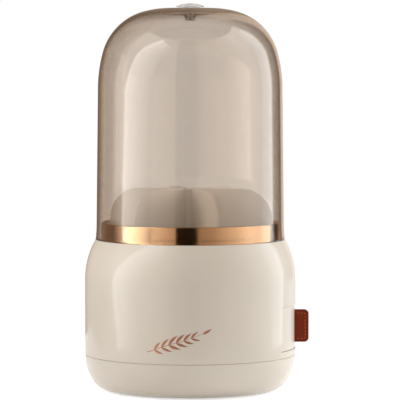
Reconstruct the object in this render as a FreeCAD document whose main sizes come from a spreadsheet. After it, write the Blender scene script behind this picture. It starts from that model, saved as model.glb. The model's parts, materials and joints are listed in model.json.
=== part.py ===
"""Round vanity pot: a turning body with one drawer, a brush cup and a lift-off clear dome.

Everything is in millimetres. +Z is up, the origin is on the table under the turning axis, and the
drawer opens towards +X. The sheet holds the driving sizes. Every sketch, pad and placement below is
a formula over the sheet's words, so a changed size moves all that seats on it.
"""
import FreeCAD, Part

import math
import os
import re

import Sketcher

SIZES = {
    # Standing foot
    "body_radius": 75.0,        # outer radius of the foot and of the body above it
    "foot_height": 25.6,        # rim of the foot above the table
    "foot_side_round": 30.0,    # the foot's side bends in, gently at first
    "foot_side_turn": 36.0,     # degrees
    "foot_round": 14.5,         # and then tighter down to its underside
    "shell_wall": 2.6,          # wall of the foot, of the body and of the drawer's front
    "edge_round": 0.15,         # softened outer edges of the shells and of the dome's foot
    "grip_thickness": 1.6,      # rubber disc under the foot
    "grip_proud": 0.5,          # how far the rubber stands out of its recess
    "grip_margin": 7.5,         # from the rubber to where the foot's rounding starts
    # Turntable between the foot and the body
    "seam_gap": 0.2,            # open seam between the foot and the body
    "ball_circle": 42.0,        # radius of the circle on which the balls run
    "ball_diameter": 5.0,
    "ball_count": 12,
    "race_width": 10.0,
    "race_thickness": 2.4,
    "groove_depth": 1.2,
    "race_recess": 0.8,         # how deep the upper race sits in the base plate
    "bed_wall": 2.0,            # walls that carry the lower race
    "running_gap": 0.1,         # balls in their grooves, spigot in its hub
    "cage_thickness": 1.6,
    "cage_width": 7.0,
    "spigot_radius": 6.0,
    "spigot_length": 16.6,
    "hub_wall": 2.5,
    "hub_gap": 1.6,             # from the top of the foot's hub to the base plate
    "washer_radius": 8.0,
    "washer_thickness": 1.2,
    "washer_gap": 0.4,
    "well_margin": 2.2,         # finger room round the washer in the foot's well
    "rib_count": 6,
    "rib_thickness": 1.6,
    "rib_height": 11.0,
    # Screws
    "screw_radius": 1.5,
    "head_radius": 3.0,
    "head_height": 2.0,
    "hole_gap": 0.2,            # round a screw in a plain hole
    "thread_gap": 0.05,         # round a screw in the hole that holds it
    "screw_grip": 8.0,          # how far a screw reaches into what it holds
    "small_screw_radius": 1.0,
    "small_head_radius": 1.9,
    "small_head_height": 1.2,
    "small_screw_grip": 2.2,
    "recess_reach": 0.58,       # cross in a screw's head, as shares of the head's radius
    "recess_half": 0.13,
    "recess_depth": 0.5,        # share of the head's height
    # Body
    "body_height": 81.8,        # from the seam to the deck that the dome stands on
    "shoulder_drop": 28.0,      # height of the curved shoulder
    "shoulder_inset": 7.5,      # how far the shoulder leans in
    "plate_thickness": 3.0,
    "boss_inset": 3.9,          # from the body's inner face to the centre of a screw boss
    "boss_radius": 4.5,
    "boss_height": 15.0,
    "boss_angle": 60.0,         # from the drawer's direction to a screw boss
    "deck_width": 4.0,          # from the deck's edge in to the collar ring
    "ledge_gap": 0.5,
    "ledge_depth": 0.8,         # recess in which the cup and the collar ring stand
    "lip_thickness": 3.0,
    "fit_gap": 0.2,             # between pieces that are assembled and stay put
    # Collar ring and brush cup
    "collar_thickness": 0.8,
    "collar_rise": 12.4,        # top of the collar ring above the deck
    "collar_round": 0.4,
    "collar_reach": 3.8,        # how far the ring's top edge reaches in over the cup
    "cup_step": 1.3,            # the cup's hanging shoulder
    "cup_wall": 1.8,
    "cup_floor": 2.4,
    "cup_round": 4.0,
    "cup_air": 4.0,             # from the top of the drawer's front to the cup's underside
    "post_offset": 20.0,        # screw posts under the cup, from the centre along the drawer
    "post_radius": 4.0,
    "post_gap": 2.0,            # from a rail to a screw post
    # Brush divider
    "blade_count": 6,
    "blade_thickness": 1.4,
    "blade_round": 22.0,        # rounded outer corner of each blade
    "blade_foot": 3.0,          # slanted lower corner, clear of the cup's rounding
    "divider_rise": 36.5,       # top of the blades above the deck
    "divider_core": 6.0,
    "divider_turn": 49.0,       # from the drawer's direction to the first blade
    # Drawer
    "tray_rise": 1.8,           # drawer's underside above the base plate
    "front_height": 31.0,
    "front_half_width": 41.6,
    "front_recess": 0.5,        # the drawer's front lies this far behind the body's surface
    "front_round": 3.6,
    "door_gap": 0.25,           # gap all round the drawer's front
    "tray_drop": 2.5,           # the tray's rim lies this far under the top of its front
    "tray_wall": 1.8,
    "tray_floor": 2.0,
    "tray_round": 8.0,          # rear corners
    "tray_bottom_round": 1.6,   # inside, between the walls and the floor
    "back_gap": 3.0,            # from the tray's rear corners to the body's inside
    "runner_width": 2.7,
    "runner_height": 3.0,
    "runner_rise": 5.0,         # runners above the tray's underside
    "slide_gap": 0.3,           # round the runners and where they pass the body's wall
    "side_gap": 0.5,            # between the tray's side and a rail
    "rail_width": 6.5,
    "rail_height": 13.0,
    "rail_gap": 0.9,            # from a rail's end to the body's inside
    "rail_screw_offset": 40.0,
    "rail_screw_grip": 5.0,
    "drawer_travel": 76.0,
    "stop_clear": 0.4,          # over and under the stop rib
    "stop_width": 24.0,
    "stop_thickness": 2.0,
    "stop_gap": 0.3,
    "front_post_margin": 15.6,  # screws that hold the front, in from its side edges
    "front_post_rise": 14.0,
    "front_post_radius": 3.0,
    "front_screw_grip": 4.0,
    # Leather tab and its clamp
    "tab_reach": 9.7,           # how far the tab stands out of the body
    "tab_height": 23.4,
    "tab_thickness": 3.2,
    "tab_round": 3.2,
    "tab_rise": 3.3,            # tab above the drawer front's lower edge
    "flange_width": 18.0,       # the strip's spread ends behind the front
    "flange_thickness": 1.6,
    "land_depth": 3.9,          # thickness of the drawer's front where the clamp sits
    "land_margin": 3.0,
    "clamp_thickness": 1.2,
    "clamp_screw_out": 5.5,
    "clamp_screw_up": 4.5,
    # Dome and knob
    "dome_wall": 2.0,
    "dome_inset": 0.1,          # from the deck's edge to the dome's foot
    "flare": 0.65,              # how much the dome's foot spreads
    "flare_height": 12.0,
    "draft": 1.1,               # how much the straight wall leans in
    "dome_height": 164.6,       # crest of the crown above the deck
    "side_arc": 101.7,          # radius of the gentle curve above the straight wall
    "side_turn": 14.9,          # degrees that it bends
    "crown_arc": 41.4,          # radius of the tighter curve of the shoulder
    "crown_turn": 75.3,         # degrees from upright where it ends
    "crest_radius": 14.5,       # highest ring of the crown
    "dimple_depth": 2.2,
    "dimple_seat": 5.0,         # flat seat of the knob in the dimple
    "stub_radius": 3.6,         # stub inside the crown that the knob's peg goes into
    "stub_drop": 8.0,           # from the crest to the stub's end
    "stub_root": 5.0,           # large rounding between the crown and the stub
    "stub_round": 0.6,
    "knob_radius": 10.0,
    "knob_round": 0.6,          # half-round rim of the knob
    "knob_lift": 0.4,           # knob's underside above the crest
    "knob_rise": 3.2,           # knob's top above the crest
    "stem_radius": 4.4,
    "peg_length": 4.0,
    "peg_radius": 1.9,
    "peg_gap": 0.05,
}

# Heights above the table
PLATE = "(foot_height + seam_gap)"
PLATE_TOP = f"({PLATE} + plate_thickness)"
DECK = f"({PLATE} + body_height)"
LEDGE = f"({DECK} - ledge_depth)"
DRAWER = f"({PLATE_TOP} + tray_rise)"
CUP = f"({DRAWER} + front_height + cup_air)"
BALL_RISE = "(ball_diameter / 2 + running_gap - groove_depth)"
BALLS = f"({PLATE} + race_recess - race_thickness - {BALL_RISE})"
HUB_LEDGE = f"({PLATE} - spigot_length + washer_gap)"

# Radii
BODY_INNER = "(body_radius - shell_wall)"
DECK_RADIUS = "(body_radius - shoulder_inset)"
SHOULDER = "((shoulder_drop^2 + shoulder_inset^2) / (2 * shoulder_inset))"
COLLAR = f"({DECK_RADIUS} - deck_width)"
CUP_HEAD = f"({COLLAR} - collar_thickness - fit_gap)"
CUP_OUTER = f"({CUP_HEAD} - cup_step)"
CUP_INNER = f"({CUP_OUTER} - cup_wall)"
RACE_INNER = "(ball_circle - race_width / 2)"
RACE_OUTER = "(ball_circle + race_width / 2)"
WELL = "(washer_radius + well_margin)"
FOOT_FLAT = ("(body_radius - foot_side_round"
             " + (foot_side_round - foot_round) * cos(foot_side_turn))")
GRIP = f"({FOOT_FLAT} - grip_margin)"
FRONT_OUTER = "(body_radius - front_recess)"
FRONT_INNER = f"({FRONT_OUTER} - shell_wall)"
BOSS_CIRCLE = f"({BODY_INNER} - boss_inset)"

# Places across and along the drawer
TRAY_SIDE = "(front_half_width + door_gap - slide_gap - runner_width)"
RAIL_INNER = f"({TRAY_SIDE} + side_gap)"
RAIL_OUTER = f"({RAIL_INNER} + rail_width)"
RAIL_END = f"(sqrt({BODY_INNER}^2 - {RAIL_OUTER}^2) - rail_gap)"
TRAY_FRONT = f"(sqrt({FRONT_INNER}^2 - {TRAY_SIDE}^2) - fit_gap)"
TRAY_BACK = f"(sqrt({BODY_INNER}^2 - {TRAY_SIDE}^2) - back_gap)"
TRAY_HEIGHT = "(front_height - tray_drop)"
POST_ACROSS = f"({RAIL_OUTER} + post_gap + post_radius)"
LAND = f"({FRONT_OUTER} - land_depth)"
FLANGE = f"({LAND} - flange_thickness)"

SCREW_HOLE = "(screw_radius + hole_gap)"
THREAD_HOLE = "(screw_radius + thread_gap)"
SMALL_HOLE = "(small_screw_radius + hole_gap)"
SMALL_THREAD_HOLE = "(small_screw_radius + thread_gap)"

TOUCH = 0.01                    # picking an edge: nearer than this counts as on the surface

doc = FreeCAD.newDocument("vanity_pot")
sheet = doc.addObject("Spreadsheet::Sheet", "dim")
for row, (word, size) in enumerate(SIZES.items(), start=1):
    sheet.set(f"A{row}", str(size))
    sheet.setAlias(f"A{row}", word)
doc.recompute()


def formula(text):
    """Point every word of a formula that names a size at the sheet."""
    def look_up(match):
        word = match.group(0)
        return "dim." + word if word in SIZES else word
    return re.sub(r"[a-z_]+", look_up, str(text))


def number(text):
    """What a formula comes to now."""
    return float(sheet.evalExpression(str(text)))


def bind(thing, setting, text):
    """Tie one setting of a document object to a formula."""
    thing.setExpression(setting, formula(text))


# ---------------------------------------------------------------- sketches and features

class Bend:
    """An arc between two corners of an outline: turn 1 bends left on the way round, -1 right."""

    def __init__(self, radius, turn=1):
        self.radius = radius
        self.turn = turn


def piece(label, up="0", turned="0"):
    """A new sub-part whose own origin is raised by one formula and turned about Z by another."""
    body = doc.addObject("PartDesign::Body", label)
    body.Label = label
    body.Placement.Rotation.Axis = FreeCAD.Vector(0, 0, 1)
    bind(body, ".Placement.Base.z", up)
    if turned != "0":
        bind(body, ".Placement.Rotation.Angle", f"({turned}) * 1 deg")
    return body


def origin_of(body, role):
    return next(part for part in body.Origin.OriginFeatures if part.Role == role)


def sketch_on(body, plane, name, lift="0"):
    """A sketch on one of the body's own planes, lifted off it by a formula."""
    sketch = body.newObject("Sketcher::SketchObject", name)
    sketch.AttachmentSupport = [(origin_of(body, plane), "")]
    sketch.MapMode = "FlatFace"
    bind(sketch, ".AttachmentOffset.Base.z", lift)
    return sketch


def tie_point(sketch, place, end, corner):
    """Hold one point of the sketch at its two formulas."""
    for kind, text in zip(("DistanceX", "DistanceY"), corner):
        tie = Sketcher.Constraint(kind, -1, 1, place, end, number(text))
        bind(sketch, f"Constraints[{sketch.addConstraint(tie)}]", text)


def outline(sketch, *steps):
    """Close a loop of straight lines and Bends through the corners, each a pair of formulas."""
    corners = []
    bends = {}
    for step in steps:
        if isinstance(step, Bend):
            bends[len(corners) - 1] = step
        else:
            corners.append(step)
    points = [FreeCAD.Vector(number(across), number(up), 0) for across, up in corners]
    ends = []
    for index, start in enumerate(points):
        finish = points[(index + 1) % len(points)]
        bend = bends.get(index)
        if bend is None:
            edge = sketch.addGeometry(Part.LineSegment(start, finish), False)
            ends.append((edge, 1, 2))
            continue
        radius = number(bend.radius)
        chord = finish - start
        inward = FreeCAD.Vector(-chord.y, chord.x, 0).normalize() * bend.turn
        centre = (start + finish) / 2 + inward * math.sqrt(max(radius**2 - chord.Length**2 / 4, 0))
        first, last = (start, finish) if bend.turn > 0 else (finish, start)
        sweep = [math.atan2(point.y - centre.y, point.x - centre.x) for point in (first, last)]
        circle = Part.Circle(centre, FreeCAD.Vector(0, 0, 1), radius)
        edge = sketch.addGeometry(Part.ArcOfCircle(circle, *sweep), False)
        ends.append((edge, 1, 2) if bend.turn > 0 else (edge, 2, 1))
    for index, (edge, begin, end) in enumerate(ends):
        following, opening, _ = ends[(index + 1) % len(ends)]
        sketch.addConstraint(Sketcher.Constraint("Coincident", edge, end, following, opening))
        tie_point(sketch, edge, begin, corners[index])
        if index in bends:
            tie = Sketcher.Constraint("Radius", edge, number(bends[index].radius))
            bind(sketch, f"Constraints[{sketch.addConstraint(tie)}]", bends[index].radius)


def rectangle(sketch, left, bottom, right, top):
    outline(sketch, (left, bottom), (right, bottom), (right, top), (left, top))


def circles(sketch, centres, radius):
    """Equal circles at the given pairs of formulas."""
    for centre in centres:
        place = FreeCAD.Vector(number(centre[0]), number(centre[1]), 0)
        edge = sketch.addGeometry(Part.Circle(place, FreeCAD.Vector(0, 0, 1), number(radius)), False)
        tie_point(sketch, edge, 3, centre)
        tie = Sketcher.Constraint("Radius", edge, number(radius))
        bind(sketch, f"Constraints[{sketch.addConstraint(tie)}]", radius)


def revolve(body, sketch):
    """Turn a section about the body's upright axis."""
    turned = body.newObject("PartDesign::Revolution", sketch.Name + "_turned")
    turned.Profile = sketch
    turned.ReferenceAxis = (sketch, ["V_Axis"])
    turned.Angle = 360
    return turned


def pad(body, sketch, length, back=False, both=False):
    """Raise a sketch along its normal, or back along it, or half to either side."""
    raised = body.newObject("PartDesign::Pad", sketch.Name + "_pad")
    raised.Profile = sketch
    bind(raised, "Length", length)
    raised.Reversed = back
    if both:
        raised.SideType = "Symmetric"
    return raised


def pocket(body, sketch, depth=None, ahead=False):
    """Cut a sketch back along its normal, or ahead; with no depth, right through both ways."""
    cut = body.newObject("PartDesign::Pocket", sketch.Name + "_cut")
    cut.Profile = sketch
    if depth is None:
        cut.SideType = "Symmetric"
        cut.Type = "ThroughAll"
    else:
        bind(cut, "Length", depth)
        cut.Reversed = ahead
    return cut


def repeat(body, feature, count):
    """Repeat a feature round the body's upright axis."""
    pattern = body.newObject("PartDesign::PolarPattern", feature.Name + "_ring")
    pattern.Originals = [feature]
    pattern.Axis = (origin_of(body, "Z_Axis"), [""])
    pattern.Angle = 360
    bind(pattern, "Occurrences", count)
    body.Tip = pattern
    return pattern


def fillet(body, base, radius, chosen):
    """Round the edges of the last feature that the chosen test picks."""
    doc.recompute()
    names = [f"Edge{n}" for n, edge in enumerate(base.Shape.Edges, start=1) if chosen(edge)]
    rounded = body.newObject("PartDesign::Fillet", base.Name + "_round")
    rounded.Base = (base, names)
    bind(rounded, "Radius", radius)
    return rounded


def four_ways(across, along):
    """The four mirror places of one place."""
    return [(f"{x} * {across}", f"{y} * {along}") for x in (1, -1) for y in (1, -1)]


def screw_set(label, plane, seat, places, grip, small=False, up="0"):
    """Equal screws: crossed heads under the seat, shanks through it for the length of the grip."""
    shank, head, tall = ("screw_radius", "head_radius", "head_height")
    if small:
        shank, head, tall = ("small_screw_radius", "small_head_radius", "small_head_height")
    body = piece(label, up)
    heads = sketch_on(body, plane, label + "_heads", seat)
    circles(heads, places, head)
    pad(body, heads, tall, back=True)
    shanks = sketch_on(body, plane, label + "_shanks", seat)
    circles(shanks, places, shank)
    pad(body, shanks, grip)
    reach = f"recess_reach * {head}"
    half = f"recess_half * {head}"
    for arm, across, up_by in (("_slots", reach, half), ("_cross_slots", half, reach)):
        slots = sketch_on(body, plane, label + arm, f"{seat} - {tall}")
        for x, y in places:
            rectangle(slots, f"{x} - {across}", f"{y} - {up_by}", f"{x} + {across}", f"{y} + {up_by}")
        pocket(body, slots, f"recess_depth * {tall}", ahead=True)


# ---------------------------------------------------------------- foot and turntable

def make_foot_shell():
    """Bowl-shaped foot with the bearing's bed, the hub for the spigot and stiffening ribs."""
    foot = piece("foot_shell")
    hub = f"({WELL} + hub_wall)"
    hub_top = f"({PLATE} - hub_gap)"
    floor = "(grip_proud + shell_wall)"
    low_centre = "(grip_proud + foot_round)"
    side_centre = f"({low_centre} + (foot_side_round - foot_round) * sin(foot_side_turn))"

    def turning(inset):
        """Where the foot's two roundings meet, on a surface moved in by one formula."""
        return (f"{FOOT_FLAT} + (foot_round - {inset}) * cos(foot_side_turn)",
                f"{low_centre} - (foot_round - {inset}) * sin(foot_side_turn)")

    section = sketch_on(foot, "XZ_Plane", "foot_section")
    outline(
        section,
        (WELL, "grip_thickness"),
        (f"{GRIP} + fit_gap", "grip_thickness"),
        (f"{GRIP} + fit_gap", "grip_proud"),
        (FOOT_FLAT, "grip_proud"), Bend("foot_round"),
        turning("0"), Bend("foot_side_round"),
        ("body_radius", side_centre),
        ("body_radius", "foot_height - edge_round"), Bend("edge_round"),
        ("body_radius - edge_round", "foot_height"),
        (BODY_INNER, "foot_height"),
        (BODY_INNER, side_centre), Bend("foot_side_round - shell_wall", -1),
        turning("shell_wall"), Bend("foot_round - shell_wall", -1),
        (FOOT_FLAT, floor),
        (hub, floor),
        (hub, hub_top),
        ("spigot_radius + running_gap", hub_top),
        ("spigot_radius + running_gap", HUB_LEDGE),
        (WELL, HUB_LEDGE))
    revolve(foot, section)

    inside_floor = f"((grip_thickness + {floor}) / 2)"
    bed_top = f"({BALLS} - {BALL_RISE} - race_thickness)"
    bed = sketch_on(foot, "XZ_Plane", "bed_section")
    rectangle(bed, RACE_INNER, inside_floor, f"{RACE_INNER} + bed_wall", bed_top)
    outline(
        bed,
        (f"{RACE_OUTER} - bed_wall", inside_floor),
        (f"{RACE_OUTER} + bed_wall", inside_floor),
        (f"{RACE_OUTER} + bed_wall", f"{bed_top} + race_thickness / 2"),
        (f"{RACE_OUTER} + fit_gap", f"{bed_top} + race_thickness / 2"),
        (f"{RACE_OUTER} + fit_gap", bed_top),
        (f"{RACE_OUTER} - bed_wall", bed_top))
    revolve(foot, bed)

    rib = sketch_on(foot, "XZ_Plane", "rib_section")
    rectangle(rib, f"{hub} - hub_wall / 2", inside_floor,
              f"{RACE_INNER} + bed_wall / 2", f"{floor} + rib_height")
    ribs = pad(foot, rib, "rib_thickness", both=True)
    repeat(foot, ribs, "rib_count")


def make_grip_disc():
    """Rubber disc that the foot stands on; it also closes the screw well."""
    disc = piece("grip_disc")
    face = sketch_on(disc, "XY_Plane", "grip_face")
    circles(face, [("0", "0")], GRIP)
    pad(disc, face, "grip_thickness")


def make_race(label, side):
    """One grooved ring of the ball bearing: side 1 lies over the balls and -1 under them."""
    race = piece(label, BALLS)
    near = f"({side} * {BALL_RISE})"
    far = f"({side} * ({BALL_RISE} + race_thickness))"
    mouth = f"sqrt((ball_diameter / 2 + running_gap)^2 - {BALL_RISE}^2)"
    section = sketch_on(race, "XZ_Plane", label + "_section")
    outline(
        section,
        (RACE_INNER, far),
        (RACE_INNER, near),
        (f"ball_circle - {mouth}", near), Bend("ball_diameter / 2 + running_gap", -side),
        (f"ball_circle + {mouth}", near),
        (RACE_OUTER, near),
        (RACE_OUTER, far))
    revolve(race, section)


def make_ball_cage():
    """Flat ring with a round window for each ball."""
    cage = piece("ball_cage", f"{BALLS} - cage_thickness / 2")
    section = sketch_on(cage, "XZ_Plane", "cage_section")
    rectangle(section, "ball_circle - cage_width / 2", "0",
              "ball_circle + cage_width / 2", "cage_thickness")
    revolve(cage, section)
    window = sketch_on(cage, "XY_Plane", "cage_window")
    circles(window, [("ball_circle", "0")], "ball_diameter / 2 + running_gap")
    repeat(cage, pocket(cage, window), "ball_count")


def make_bearing_balls():
    """The steel balls, one in each window of the cage."""
    balls = piece("bearing_balls", BALLS)
    half = sketch_on(balls, "XZ_Plane", "ball_half")
    outline(
        half,
        ("ball_circle", "-ball_diameter / 2"), Bend("ball_diameter / 2"),
        ("ball_circle + ball_diameter / 2", "0"), Bend("ball_diameter / 2"),
        ("ball_circle", "ball_diameter / 2"))
    ball = balls.newObject("PartDesign::Revolution", "ball")
    ball.Profile = half
    ball.ReferenceAxis = (half, ["Edge3"])
    ball.Angle = 360
    repeat(balls, ball, "ball_count")


def make_pivot_washer():
    """Washer on the end of the spigot: it keeps the body from lifting off its foot."""
    washer = piece("pivot_washer", f"{PLATE} - spigot_length - washer_thickness")
    face = sketch_on(washer, "XY_Plane", "washer_face")
    circles(face, [("0", "0")], "washer_radius")
    circles(face, [("0", "0")], SCREW_HOLE)
    pad(washer, face, "washer_thickness")


# ---------------------------------------------------------------- body

BOSS_PLACES = four_ways(f"({BOSS_CIRCLE} * cos(boss_angle))", f"({BOSS_CIRCLE} * sin(boss_angle))")
POST_PLACES = four_ways("post_offset", POST_ACROSS)
RAIL_SCREW_PLACES = four_ways("rail_screw_offset", f"({RAIL_INNER} + rail_width / 2)")


def make_base_plate():
    """Floor of the body, with the spigot and the upper race's seat under it and the drawer's stop."""
    plate = piece("base_plate", PLATE)
    section = sketch_on(plate, "XZ_Plane", "plate_section")
    outline(
        section,
        ("0", "screw_grip - spigot_length"),
        (THREAD_HOLE, "screw_grip - spigot_length"),
        (THREAD_HOLE, "-spigot_length"),
        ("spigot_radius", "-spigot_length"),
        ("spigot_radius", "0"),
        (f"{RACE_INNER} - fit_gap", "0"),
        (f"{RACE_INNER} - fit_gap", "race_recess"),
        (f"{RACE_OUTER} + fit_gap", "race_recess"),
        (f"{RACE_OUTER} + fit_gap", "0"),
        (f"{BODY_INNER} - fit_gap", "0"),
        (f"{BODY_INNER} - fit_gap", "plate_thickness"),
        ("0", "plate_thickness"))
    revolve(plate, section)

    stop = sketch_on(plate, "XY_Plane", "stop_rib", "plate_thickness")
    near = f"(-{TRAY_BACK} + stop_thickness + drawer_travel + stop_gap)"
    rectangle(stop, near, "-stop_width / 2", f"{near} + stop_thickness", "stop_width / 2")
    pad(plate, stop, "tray_rise - stop_clear")

    holes = sketch_on(plate, "XY_Plane", "plate_holes")
    circles(holes, BOSS_PLACES + POST_PLACES + RAIL_SCREW_PLACES, SCREW_HOLE)
    pocket(plate, holes)


def make_body_shell():
    """Cream casing: a straight wall, a leaning shoulder and the deck that the dome stands on."""
    shell = piece("body_shell", PLATE)
    straight = "(body_height - shoulder_drop)"
    lip = f"({CUP_OUTER} + fit_gap)"
    under = "(body_height - ledge_depth - lip_thickness)"
    under_radius = (f"(body_radius - {SHOULDER}"
                    f" + sqrt(({SHOULDER} - shell_wall)^2 - ({under} - {straight})^2))")
    section = sketch_on(shell, "XZ_Plane", "shell_section")
    outline(
        section,
        (BODY_INNER, "0"),
        ("body_radius - edge_round", "0"), Bend("edge_round"),
        ("body_radius", "edge_round"),
        ("body_radius", straight), Bend(SHOULDER),
        (DECK_RADIUS, "body_height"),
        (f"{COLLAR} + ledge_gap", "body_height"),
        (f"{COLLAR} + ledge_gap", "body_height - ledge_depth"),
        (lip, "body_height - ledge_depth"),
        (lip, under),
        (under_radius, under), Bend(f"{SHOULDER} - shell_wall", -1),
        (BODY_INNER, straight))
    revolve(shell, section)

    bosses = sketch_on(shell, "XY_Plane", "shell_bosses", "plate_thickness")
    circles(bosses, BOSS_PLACES, "boss_radius")
    pad(shell, bosses, "boss_height")
    threads = sketch_on(shell, "XY_Plane", "shell_threads", "plate_thickness")
    circles(threads, BOSS_PLACES, THREAD_HOLE)
    pocket(shell, threads, "screw_grip + screw_radius", ahead=True)

    doorway = sketch_on(shell, "YZ_Plane", "doorway")
    side = "(front_half_width + door_gap)"
    low = f"({DRAWER} - {PLATE} - door_gap)"
    high = f"({DRAWER} - {PLATE} + front_height + door_gap)"
    turn = "(front_round + door_gap)"
    outline(
        doorway,
        (f"-{side} + {turn}", low),
        (f"{side} - {turn}", low), Bend(turn),
        (side, f"{low} + {turn}"),
        (side, f"{high} - {turn}"), Bend(turn),
        (f"{side} - {turn}", high),
        (f"-{side} + {turn}", high), Bend(turn),
        (f"-{side}", f"{high} - {turn}"),
        (f"-{side}", f"{low} + {turn}"), Bend(turn))
    pocket(shell, doorway, "body_radius + shell_wall", ahead=True)


def make_rail(label, side):
    """Channel that carries one runner of the drawer: side 1 is towards +Y."""
    rail = piece(label, PLATE_TOP)
    low = "(tray_rise + runner_rise - slide_gap)"
    high = "(tray_rise + runner_rise + runner_height + slide_gap)"
    groove = f"({RAIL_INNER} + runner_width)"
    corners = [(RAIL_INNER, "0"), (RAIL_OUTER, "0"), (RAIL_OUTER, "rail_height"),
               (RAIL_INNER, "rail_height"), (RAIL_INNER, high), (groove, high),
               (groove, low), (RAIL_INNER, low)]
    section = sketch_on(rail, "YZ_Plane", label + "_section")
    outline(section, *[(f"{side} * {across}", up) for across, up in corners])
    pad(rail, section, f"2 * {RAIL_END}", both=True)
    threads = sketch_on(rail, "XY_Plane", label + "_threads")
    across = f"{side} * ({RAIL_INNER} + rail_width / 2)"
    circles(threads, [("rail_screw_offset", across), ("-rail_screw_offset", across)], THREAD_HOLE)
    pocket(rail, threads, "rail_screw_grip + thread_gap", ahead=True)


def make_brush_cup():
    """Cup that holds the brushes: it hangs on the body's ledge and is screwed down on four posts."""
    cup = piece("brush_cup", CUP)
    shoulder = f"({LEDGE} - {CUP})"
    rim = f"({DECK} + collar_rise - collar_thickness - {CUP})"
    inner_round = "(cup_round - cup_wall)"
    section = sketch_on(cup, "XZ_Plane", "cup_section")
    outline(
        section,
        ("0", "0"),
        (f"{CUP_OUTER} - cup_round", "0"), Bend("cup_round"),
        (CUP_OUTER, "cup_round"),
        (CUP_OUTER, shoulder),
        (CUP_HEAD, shoulder),
        (CUP_HEAD, rim),
        (CUP_INNER, rim),
        (CUP_INNER, f"cup_floor + {inner_round}"), Bend(inner_round, -1),
        (f"{CUP_INNER} - {inner_round}", "cup_floor"),
        ("0", "cup_floor"))
    revolve(cup, section)
    posts = sketch_on(cup, "XY_Plane", "cup_posts", "cup_floor / 2")
    circles(posts, POST_PLACES, "post_radius")
    pad(cup, posts, f"{CUP} - {PLATE_TOP} + cup_floor / 2", back=True)
    threads = sketch_on(cup, "XY_Plane", "cup_threads", f"{PLATE_TOP} - {CUP}")
    circles(threads, POST_PLACES, THREAD_HOLE)
    pocket(cup, threads, "screw_grip + screw_radius", ahead=True)
    centre = sketch_on(cup, "XY_Plane", "cup_centre_hole", "cup_floor")
    circles(centre, [("0", "0")], SCREW_HOLE)
    pocket(cup, centre, "cup_floor")


def make_collar_ring():
    """Bright ring round the cup's rim, with a lip over the top of it."""
    ring = piece("collar_ring", LEDGE)
    top = "(collar_rise + ledge_depth)"
    inner = f"({COLLAR} - collar_thickness)"
    section = sketch_on(ring, "XZ_Plane", "ring_section")
    outline(
        section,
        (inner, "0"),
        (COLLAR, "0"),
        (COLLAR, f"{top} - collar_round"), Bend("collar_round"),
        (f"{COLLAR} - collar_round", top),
        (f"{COLLAR} - collar_reach", top),
        (f"{COLLAR} - collar_reach", f"{top} - collar_thickness"),
        (inner, f"{top} - collar_thickness"))
    revolve(ring, section)


def make_brush_divider():
    """Star of upright blades round a core: each blade's outer corner is a large quarter round."""
    divider = piece("brush_divider", f"{CUP} + cup_floor", "divider_turn")
    reach = f"({CUP_INNER} - fit_gap)"
    top = f"({DECK} + divider_rise - {CUP} - cup_floor)"
    core = sketch_on(divider, "XY_Plane", "divider_core_face")
    circles(core, [("0", "0")], "divider_core")
    pad(divider, core, top)
    blade = sketch_on(divider, "XZ_Plane", "blade_outline")
    outline(
        blade,
        ("divider_core / 2", "0"),
        (f"{reach} - blade_foot", "0"),
        (reach, "blade_foot"),
        (reach, f"{top} - blade_round"), Bend("blade_round"),
        (f"{reach} - blade_round", top),
        ("divider_core / 2", top))
    repeat(divider, pad(divider, blade, "blade_thickness", both=True), "blade_count")
    thread = sketch_on(divider, "XY_Plane", "divider_thread")
    circles(thread, [("0", "0")], THREAD_HOLE)
    pocket(divider, thread, "screw_grip + screw_radius", ahead=True)


# ---------------------------------------------------------------- drawer

FRONT_POST = "(front_half_width - front_post_margin)"
FRONT_SCREW_PLACES = [(FRONT_POST, "front_post_rise"), (f"-{FRONT_POST}", "front_post_rise")]
CLAMP_SCREW_LOW = "tab_rise + clamp_screw_up"
CLAMP_SCREW_HIGH = "tab_rise + tab_height - clamp_screw_up"
CLAMP_SCREW_PLACES = [
    ("clamp_screw_out", CLAMP_SCREW_LOW), ("clamp_screw_out", CLAMP_SCREW_HIGH),
    ("-clamp_screw_out", CLAMP_SCREW_LOW), ("-clamp_screw_out", CLAMP_SCREW_HIGH)]


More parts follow.
